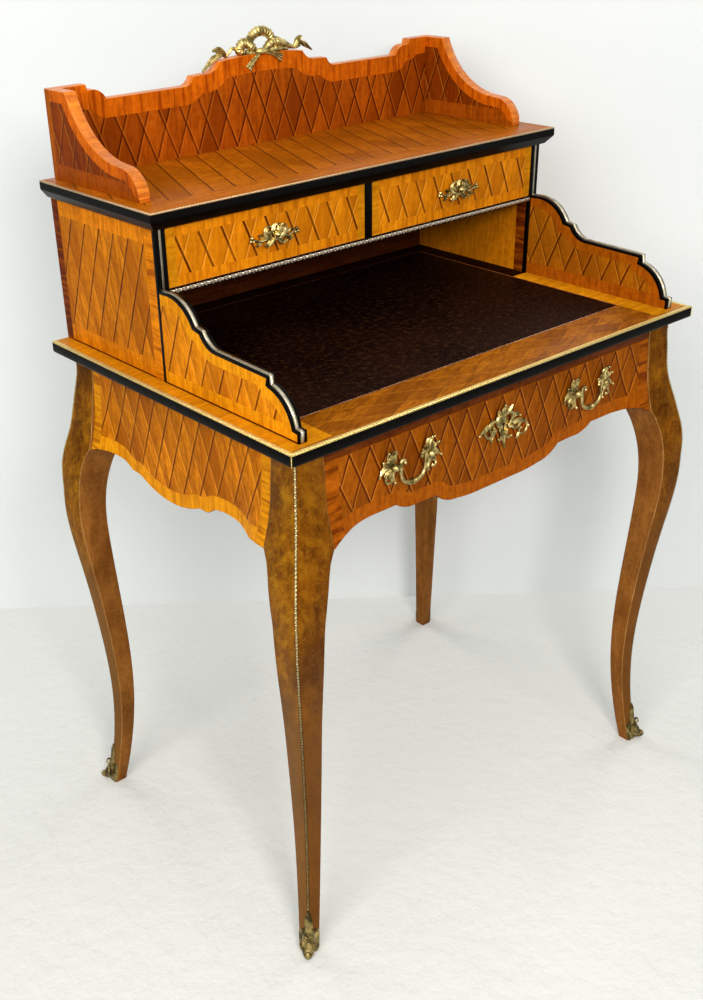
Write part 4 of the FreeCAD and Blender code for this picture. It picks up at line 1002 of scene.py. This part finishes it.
for side, sign in hands:
    middle, face, height = sign * handleSpec["middle"], handleSpec["face"], handleSpec["height"]
    bm = bmesh.new()
    for way in (-1, 1):
        spot = frontMount(middle + way * handleSpec["post"], face, height, way)
        scrollBar(bm, spot, handleSpec["stem"], 14, 3)
        bead(bm, spot, *handleSpec["knob"])
        foliage(bm, spot, handleSpec, 4, *handleSpec["spread"])
    giltPiece("handleLeaves_" + side, bm, "handle_posts_" + side)
    at = frontMount(middle, face, height)
    bm = bmesh.new()
    half, curl = handleSpec["bail"], handleSpec["curl"]
    lowest, out = half[-1][1:3]
    scrollBar(bm, at, half + [(-u, v, w, r) for u, v, w, r in half[-2::-1]], 12, 7)
    for way in (-1, 1):
        bead(bm, at, way * curl[0], *curl[1:])
        scrollBar(bm, at, [(way * u, 0, out, r) for u, r in handleSpec["pin"]], 12, 3)
    for u, size in handleSpec["rings"]:
        collar = ((-0.9, 3.2), (-0.45, size), (0.45, size), (0.9, 3.2))
        scrollBar(bm, at, [(u + step, lowest, out, r) for step, r in collar], 12, 3)
    giltPiece("swanBail_" + side, bm, "handle_bail_" + side)


# Pierced escutcheon

lockSpec = {
    "height": 674, "face": -232, "hole": (2.5, 1.5, 8.0), "shield": (9.0, 11.5), "lobes": (6, 0.06),
    # behind: the outline of the black patch that paints the shade inside the keyhole
    "steps": 36, "behind": ((-4, -9), (4, -9), (4, 4), (-4, 4)),
    "scrolls": [
        [(-2, 11, 3, 1.4), (-9, 15, 4, 2.2), (-14, 9, 4.5, 2.6), (-12, 1, 4, 2.2), (-8, -3, 4, 1.6),
         (-9, -6, 4.5, 1.4)],
        [(2, 12, 3, 1.4), (10, 15, 4, 2.2), (15, 9, 4.5, 2.6), (13, 1, 4, 2.2), (9, -3, 4, 1.6),
         (10, -6, 4.5, 1.4)],
        [(-13, 6, 3, 1.5), (-21, 10, 4, 2.3), (-28, 5, 4, 2.2), (-26, -3, 4, 1.9), (-21, -4, 4.5, 1.5),
         (-21, 0, 5, 1.3)],
        [(-14, -4, 3, 1.6), (-22, -10, 4, 2.3), (-31, -9, 4, 2.0), (-36, -3, 4, 1.7), (-33, 1, 4.5, 1.4)],
        [(12, -3, 3, 1.6), (18, -9, 4, 2.2), (26, -10, 4, 2.0), (32, -5, 4, 1.8), (40, -6, 3.6, 1.7),
         (45, -13, 3.6, 1.7), (42, -21, 3.6, 1.6), (33, -22, 3.6, 1.5), (29, -17, 4, 1.3),
         (32, -13, 4.4, 1.2)],
        [(-7, -8, 3, 1.6), (-4, -14, 4, 2.0), (-7, -19, 4, 1.6), (-11, -17, 4.6, 1.3)],
        [(7, -8, 3, 1.6), (4, -15, 4, 2.0), (8, -20, 4, 1.6), (12, -18, 4.6, 1.3)],
    ],
    "leaves": [
        [(0, 11, 3.5, 3), (0, 17, 4.5, 6), (-1, 22, 4.5, 5), (-2, 27, 6, 1)],
        [(-5, 13, 3.5, 2), (-10, 18, 4, 4), (-14, 23, 5.5, 1)],
        [(5, 13, 3.5, 2), (10, 18, 4, 4), (13, 24, 5.5, 1)],
        [(0, -9, 3.5, 3), (0, -16, 4.5, 4.5), (1, -22, 4, 3.4), (0, -29, 5.5, 0.9)],
        [(-20, 3, 3.5, 2.5), (-30, 4, 4, 4.5), (-38, 1, 4, 3), (-47, -2, 5, 0.8)],
        [(-16, -5, 3.5, 2.5), (-22, -13, 4, 4), (-24, -19, 5.5, 0.9)],
        [(16, 4, 3.5, 2.5), (22, 8, 4, 4), (27, 6, 5.5, 0.9)],
        [(17, -4, 3.5, 2.5), (25, -2, 4, 4), (34, -1, 5, 0.9)],
        [(30, -20, 3.5, 2), (27, -24, 4, 3), (22, -25, 5.5, 0.8)],
    ],
    "beads": [(-2, 27.5, 6.4, 1.9), (-47, -2, 5.4, 1.8), (0, -29.5, 6, 2.0), (-21, 1, 5.6, 1.9),
              (32, -12.6, 5, 1.7), (-10, -5, 5.4, 1.7), (11, -5, 5.4, 1.7), (46, -14, 4.4, 2.2),
              (27.5, 6, 6, 1.7), (-11.5, -17, 5.4, 1.6), (12.5, -18, 5.4, 1.6)],
}
at = frontMount(0, lockSpec["face"], lockSpec["height"])
bm = bmesh.new()
bore, slit, drop = lockSpec["hole"]
loops = [[], [], [], []]
for k in range(lockSpec["steps"]):
    turn = 2 * math.pi * k / lockSpec["steps"]
    across, up = math.cos(turn), math.sin(turn)
    reach = bore
    if up < 0 and abs(across) * drop < slit * -up * 1.4:
        reach = min(drop / -up, slit / max(abs(across), 1e-3))
    wave = 1 + lockSpec["lobes"][1] * math.cos(lockSpec["lobes"][0] * turn)
    rim = (across * lockSpec["shield"][0] * wave, up * lockSpec["shield"][1] * wave)
    for loop, spot in zip(loops, ((*rim, 0.1), (*rim, 2.2), (reach * across * 1.05, reach * up * 1.05, 3.0),
                                  (reach * across, reach * up, 0.1))):
        loop.append(at(*spot))
loft(bm, loops + loops[:1], caps=False)
keyholeShadow = bm.faces.new([bm.verts.new(at(u, v, 0.2)) for u, v in lockSpec["behind"]])
keyholeShadow.material_index = 1     # black behind the hole: the painted shade of the keyhole
foliage(bm, at, lockSpec, 5)
giltPiece("piercedEscutcheon", bm, "frieze_escutcheon")


# Foliate pulls of the small drawers

pullSpec = {
    "middle": 163.9, "height": 901, "face": 18, "knob": (0, 1, 11, 4.6),
    "stem": [(0, 0, 0.1, 5.5), (0, 0, 4, 4.2), (0, 0, 7, 4.6), (0, 0, 9, 7)],
    "leaves": [
        [(3, -4, 8, 3), (10, 0, 10.5, 6), (15, 5, 9, 5), (13, 11, 9, 2), (9, 12, 10.5, 0.8)],
        [(2, 0, 9, 3), (5, 6, 12, 5), (4, 12, 11, 3), (1, 14, 12, 0.8)],
        [(3, -4, 8, 2.6), (8, -8, 9, 4.6), (13, -11, 8, 3), (17, -10, 9, 0.8)],
        [(16, -3, 6, 2.2), (21, 1, 6, 3.2), (26, 3, 7, 0.8)],
        [(20, -5, 5.5, 2), (25, -9, 6, 2.6), (30, -9, 7, 0.8)],
    ],
    "beads": [(36, 1.4, 6, 2.5), (37.6, -2.4, 6, 2.3), (33.6, -3.4, 6, 2.1), (9, 12, 10.8, 1.8),
              (17, -10, 9.2, 1.7)],
    "foot": [(33, -1, 0.1, 2.4), (33, -1, 3, 1.8), (33, -1, 5.6, 1.6)],
    "scrolls": [
        [(8, -1, 8.5, 2.8), (15, -4, 7, 2.3), (22, -5, 6, 2.0), (29, -3, 5.5, 1.8), (34, -1, 6, 1.5)],
    ],
}
for side, sign in hands:
    middle = (sign * pullSpec["middle"], pullSpec["face"], pullSpec["height"])
    at = frontMount(*middle)
    bm = bmesh.new()
    scrollBar(bm, at, pullSpec["stem"], 12, 3)
    bead(bm, at, *pullSpec["knob"])
    for way in (-1, 1):
        spot = frontMount(*middle, way)
        foliage(bm, spot, pullSpec, 5)
        scrollBar(bm, spot, pullSpec["foot"], 8, 2)
    giltPiece("foliatePull_" + side, bm, "upper_%s_drawer_pull" % side)


# Ribbon wreath on the gallery

crestSpec = {
    "depth": 239.5, "ripple": (0.1, 1.3),
    "ring": {"middle": (4, 1089), "wide": 19.5, "high": 14.8, "thin": 5.2, "thick": 6.3, "ribs": (24, 0.11),
             "steps": 168},
    "loops": [
        [(-6, 1078.5, 3, 3.5), (-14, 1086, 3, 6.4), (-23, 1091, 2, 7), (-31, 1089, 2, 6.6),
         (-35, 1082, 2, 5.4), (-27, 1078.4, 3, 5), (-12, 1077, 4, 3.4)],
        [(7, 1079, 3, 3.5), (17, 1086.5, 3, 6), (28, 1089, 2, 6.6), (40, 1085.4, 2, 5.8),
         (51, 1081, 1, 4.4), (60, 1078.4, 1, 2.6)],
        [(8, 1078, 4, 3), (22, 1079.4, 5, 4.4), (37, 1079, 4, 4), (50, 1077.6, 2, 2.2)],
    ],
    "tails": [
        [(-36, 1077.6, 1, 2.2), (-41, 1084.5, 2, 2.4), (-47, 1086.4, 2, 2.3), (-52, 1081, 1, 2.2),
         (-57, 1077.4, 1, 2.4)],
        [(57, 1078.4, 1, 2.4), (65, 1077.6, 1, 2.4), (72, 1080, 1, 2.6)],
    ],
    "leaves": [
        [(-55, 1077, 1, 2.6), (-62, 1082.5, 2, 5), (-70, 1086.6, 2, 4.4), (-77, 1085.4, 2, 1)],
        [(-64, 1080.6, 2, 3.4), (-75, 1077, 1, 4.6), (-86, 1070, 1, 3.4), (-96, 1062, 1, 1)],
        [(63, 1077.6, 1, 2.6), (68, 1083, 2, 4.6), (73, 1088.6, 2, 4), (76, 1091.4, 2, 1)],
        [(71, 1084, 2, 3), (79, 1081.4, 1, 3.8), (88, 1076, 1, 2.6), (95, 1071, 1, 0.9)],
    ],
    "ribbons": [
        [(-3, 1078, 8, 2.6), (-10, 1073.4, 9.4, 3.6), (-18, 1067, 9.6, 4.6), (-25, 1059, 9.6, 6)],
        [(4, 1078, 8, 2.6), (13, 1076, 9.4, 3.6), (23, 1072.4, 9.6, 4.6), (33, 1067, 9.6, 6)],
    ],
    "knot": [(-8, 1079.6, 4, 3.4), (-3, 1078.6, 7, 5), (3, 1078.6, 7, 5), (8, 1079.6, 4, 3.4)],
}
at, atBack = (mountFrame((0, crestSpec["depth"] * mm, 0), (1, 0, 0), (0, -face, 0)) for face in (1, -1))
bm = bmesh.new()
ring = crestSpec["ring"]
turns = [2 * math.pi * k / ring["steps"] - math.pi / 2 for k in range(ring["steps"] + 1)]
ribs, ribHeight = ring["ribs"]
across, up = ring["middle"]
tube(bm, [at(across + ring["wide"] * math.cos(t), up + ring["high"] * math.sin(t), 0) for t in turns],
     [(ring["thin"] + (ring["thick"] - ring["thin"]) * max(0, math.sin(t))) * mm
      * (1 + ribHeight * math.cos(ribs * t)) for t in turns], 12)
deep, fast = crestSpec["ripple"]
for rows in crestSpec["loops"]:
    run = smoothRun(rows, 12)
    tube(bm, [at(*row[:3]) for row in run],
         [row[3] * mm * (1 + deep * math.cos(fast * i)) for i, row in enumerate(run)], 12, 0.85)
for rows in crestSpec["tails"]:
    scrollBar(bm, at, rows, 8, 7, 0.8)
for rows in crestSpec["leaves"]:
    for face in (at, atBack):
        leafBlade(bm, face, rows, 2, 1.6, 2.6)
for rows in crestSpec["ribbons"]:
    leafBlade(bm, at, rows, 1, 1.6, 2.4)
scrollBar(bm, at, crestSpec["knot"], 12, 4)
giltPiece("ribbonWreath", bm, "gallery_crest")


# Leaf sabots with a scrolled toe

sabotSpec = {
    "proud": 1.6, "spare": 0.4, "sunk": 0.6, "flank": 3.0,
    "widths": [(0, 17), (3, 19), (8, 20), (20, 20), (30, 19), (34, 16), (36, 8.4), (42, 7.6), (50, 7),
               (57, 5.6), (63, 3.6), (70, 0.6)],
    "toe": [(-1.5, 62, 1.6), (-0.6, 50, 2.6), (-0.2, 38, 4.2), (-0.6, 28, 6.6), (-0.4, 19, 8.6),
            (2.4, 12, 8.6), (7, 8, 6.6), (10.8, 6.8, 5), (13, 8.2, 3.8), (12.6, 11.4, 2.8),
            (10.8, 12, 2.2)],
    "curls": [
        [(1, 33, 1.2, 1.2), (4, 35.2, -0.6, 1.5), (6.4, 33, -3, 1.5), (5, 30, -2.4, 1.2)],
        [(3, 8, 1.6, 1.3), (8, 11, -1.6, 1.6), (10.4, 17, -4.4, 1.6), (8.4, 22, -3.4, 1.3),
         (6, 19, -1.2, 1.1)],
    ],
}


def sabotRing(x, y, z, half, signX, signY):
    sunk, proud = sabotSpec["sunk"] * mm, sabotSpec["proud"] * mm * min(1, half / (4 * mm))
    x, y = x + signX * legSpec["sink"], y + signY * legSpec["sink"]
    ring = []
    for s in (-1, -0.85, -0.65, -0.45, -0.2, 0, 0.2, 0.45, 0.65, 0.85, 1):
        swell = proud * (0.45 + 0.75 * math.cos(2.2 * math.pi * s) ** 2) * (0.4 if abs(s) == 1 else 1)
        if s < 0:
            ring.append((x + signX * swell, y + signY * s * half, z))
        elif s > 0:
            ring.append((x - signX * s * half, y + signY * swell, z))
        else:
            ring.append((x + signX * swell * 1.1, y + signY * swell * 1.1, z))
    return ring + [(x - signX * max(s * half, sunk), y - signY * max(-s * half, sunk), z)
                   for s in (0.8, 0, -0.8)]


bm = bmesh.new()
for rows in arrises:
    signX, signY = math.copysign(1, rows[0][1]), math.copysign(1, rows[0][2])
    lean = Vector((signX, signY, 0)).normalized()
    aside = lean.cross(Vector((0, 0, 1)))
    sections = []
    for z, half in smoothRun(sabotSpec["widths"], 4):
        z = max(z, 0.1) * mm
        x, y, face = legAt(rows, z)
        half = min(max(half, 0.5) * mm, face - sabotSpec["spare"] * mm)
        sections.append(sabotRing(x, y, z, half, signX, signY))
    loft(bm, sections)
    spots, radii = [], []
    for u, v, r in smoothRun(sabotSpec["toe"], 6):
        x, y, face = legAt(rows, v * mm)
        spots.append(Vector((x, y, v * mm)) + lean * u * mm)
        radii.append(r * mm)
    tube(bm, spots, radii, 12, 1.15)
    x, y, face = legAt(rows, 1 * mm)
    for way in (-1, 1):
        flank = mountFrame(Vector((x, y, 0)) + lean * sabotSpec["flank"] * mm, aside * way, lean)
        for curl in sabotSpec["curls"]:
            scrollBar(bm, flank, curl, 8, 5)
giltPiece("leafSabots", bm, "foot_sabots", "foot")
print("mounts ready")


# Solids that keep their shape

kept = {"drawer_guides": "rail", "frieze_lock": "iron", "frieze_lock_tongue": "iron", "handle_nuts": "iron",
        "frieze_drawer_back": "oakWide", "frieze_drawer_floor": "oakWide",
        "frieze_drawer_left_side": "oakLong", "frieze_drawer_right_side": "oakLong"}
for side, signX in hands:
    for board in ("outer_side", "inner_side", "back", "floor"):
        kept["upper_%s_drawer_%s" % (side, board)] = "oakLong" if "side" in board else "oakWide"
for node, key in kept.items():
    data = cadNodes[node].data
    data.materials.clear()
    data.materials.append(finishes[key])
print("kept nodes finished", len(kept))


# Stage, light and camera

stageSpec = {"wall": 0.51, "half": 6.0, "reach": 6.0, "height": 5.0, "turn": 39.17}
stageTurn = math.radians(stageSpec["turn"])
toWall = Vector((math.sin(stageTurn), math.cos(stageTurn), 0))
alongWall = Vector((toWall.y, -toWall.x, 0))


def seenRays(tree):
    # 1 for what the camera, a reflection or a clear piece sees
    rays = addNode(tree, "ShaderNodeLightPath")
    return calc("MINIMUM", rays("Is Camera Ray") + rays("Is Glossy Ray") + rays("Is Transmission Ray"), 1.0)


def stageMaterial(name, pale, dusty, rough, screen=False):
    material, shader, point = newMaterial(name)
    dress(shader, {"Base Color": blend(noise(point, 3.0, 4.0), pale, dusty), "Roughness": 0.85})
    bump(shader, noise(point, 34.0, 5.0, 0.6), rough, 0.004)
    if screen:     # a backdrop for its own side only: clear from behind, and clear to the lamps
        tree = point.tree
        shown = seenRays(tree) * (1.0 - addNode(tree, "ShaderNodeNewGeometry")("Backfacing"))
        clear = addNode(tree, "ShaderNodeBsdfTransparent")()
        mix = addNode(tree, "ShaderNodeMixShader", {0: shown, 1: clear, 2: Signal(shader.outputs[0])})()
        feed(tree.nodes["Material Output"].inputs[0], mix)
    return material


def stageSheet(name, outline):
    bm = bmesh.new()
    rows = [[bm.verts.new(toWall * depth + alongWall * along + Vector((0, 0, z)))
             for along in (-stageSpec["half"], stageSpec["half"])] for depth, z in outline]
    for first, second in zip(rows, rows[1:]):
        bm.faces.new((first[0], first[1], second[1], second[0]))
    sheet = meshObject(name, bm, [name])


finishes["paleFloor"] = stageMaterial("paleFloor", (0.76, 0.75, 0.71), (0.7, 0.69, 0.65), 1.0)
finishes["paleWall"] = stageMaterial("paleWall", (0.79, 0.8, 0.79), (0.75, 0.77, 0.77), 0.2, screen=True)
stageSheet("paleFloor", [(-stageSpec["reach"], 0.0), (stageSpec["reach"], 0.0)])
stageSheet("paleWall", [(stageSpec["wall"], 0.0), (stageSpec["wall"], stageSpec["height"])])

lampColor = (1.0, 0.975, 0.935)
lampSpec = {     # place, height that it is aimed at, size, power
    "leftSoftbox": ((-2.9, -1.3, 2.3), 0.7, 1.8, 65),
    "frontSoftbox": ((-1.15, -2.0, 1.8), 0.6, 0.6, 37),
    "topSoftbox": ((-0.2, -0.5, 3.2), 0.8, 2.2, 20),
    "rightSoftbox": ((2.7, 0.2, 1.9), 0.6, 1.6, 26),
    "backSoftbox": ((-0.3, 2.9, 1.9), 0.6, 1.6, 30),
}
for name, (spot, aim, size, power) in lampSpec.items():
    light = bpy.data.lights.new(name, "AREA")
    light.energy, light.size, light.color = power, size, lampColor
    holder = bpy.data.objects.new(name, light)
    holder.location = spot
    holder.rotation_euler = (Vector((0, 0, aim)) - Vector(spot)).to_track_quat("-Z", "Y").to_euler()
    bpy.context.scene.collection.objects.link(holder)

world = bpy.data.worlds.new("paleRoom")
world.use_nodes = True
tree = world.node_tree
sky = tree.nodes["Background"]
dress(sky, {"Color": (0.76, 0.92, 1.0), "Strength": 0.36})
backdrop = addNode(tree, "ShaderNodeBackground", {"Color": (0.86, 0.88, 0.88), "Strength": 1.0})()
mix = addNode(tree, "ShaderNodeMixShader", {0: seenRays(tree), 1: Signal(sky.outputs[0]), 2: backdrop})()
feed(tree.nodes["World Output"].inputs[0], mix)
bpy.context.scene.world = world
bpy.context.scene.view_settings.view_transform = "Standard"

viewSpec = {"focal": 1223.18, "azimuth": -39.167, "height": 29.668, "roll": -1.765, "sensor": 36,
            "place": (-1.10641, -1.18252, 1.29783), "middle": (303.78, 562.28), "frame": (703, 1000)}
turn, lift, roll = (math.radians(viewSpec[key]) for key in ("azimuth", "height", "roll"))
back = Vector((math.sin(turn) * math.cos(lift), -math.cos(turn) * math.cos(lift), math.sin(lift)))
right = Vector((0, 0, 1)).cross(back).normalized()
up = back.cross(right)
right, up = right * math.cos(roll) + up * math.sin(roll), up * math.cos(roll) - right * math.sin(roll)
lens = bpy.data.cameras.new("photoCamera")
wide, tall = viewSpec["frame"]
lens.lens, lens.sensor_width = viewSpec["focal"] / tall * viewSpec["sensor"], viewSpec["sensor"]
lens.sensor_fit = "AUTO"
lens.shift_x = (wide / 2 - viewSpec["middle"][0]) / tall
lens.shift_y = (viewSpec["middle"][1] - tall / 2) / tall
camera = bpy.data.objects.new("photoCamera", lens)
camera.matrix_world = Matrix((right, up, back)).transposed().to_4x4()
camera.location = viewSpec["place"]
bpy.context.scene.collection.objects.link(camera)
bpy.context.scene.camera = camera
print("stage, light and camera ready")
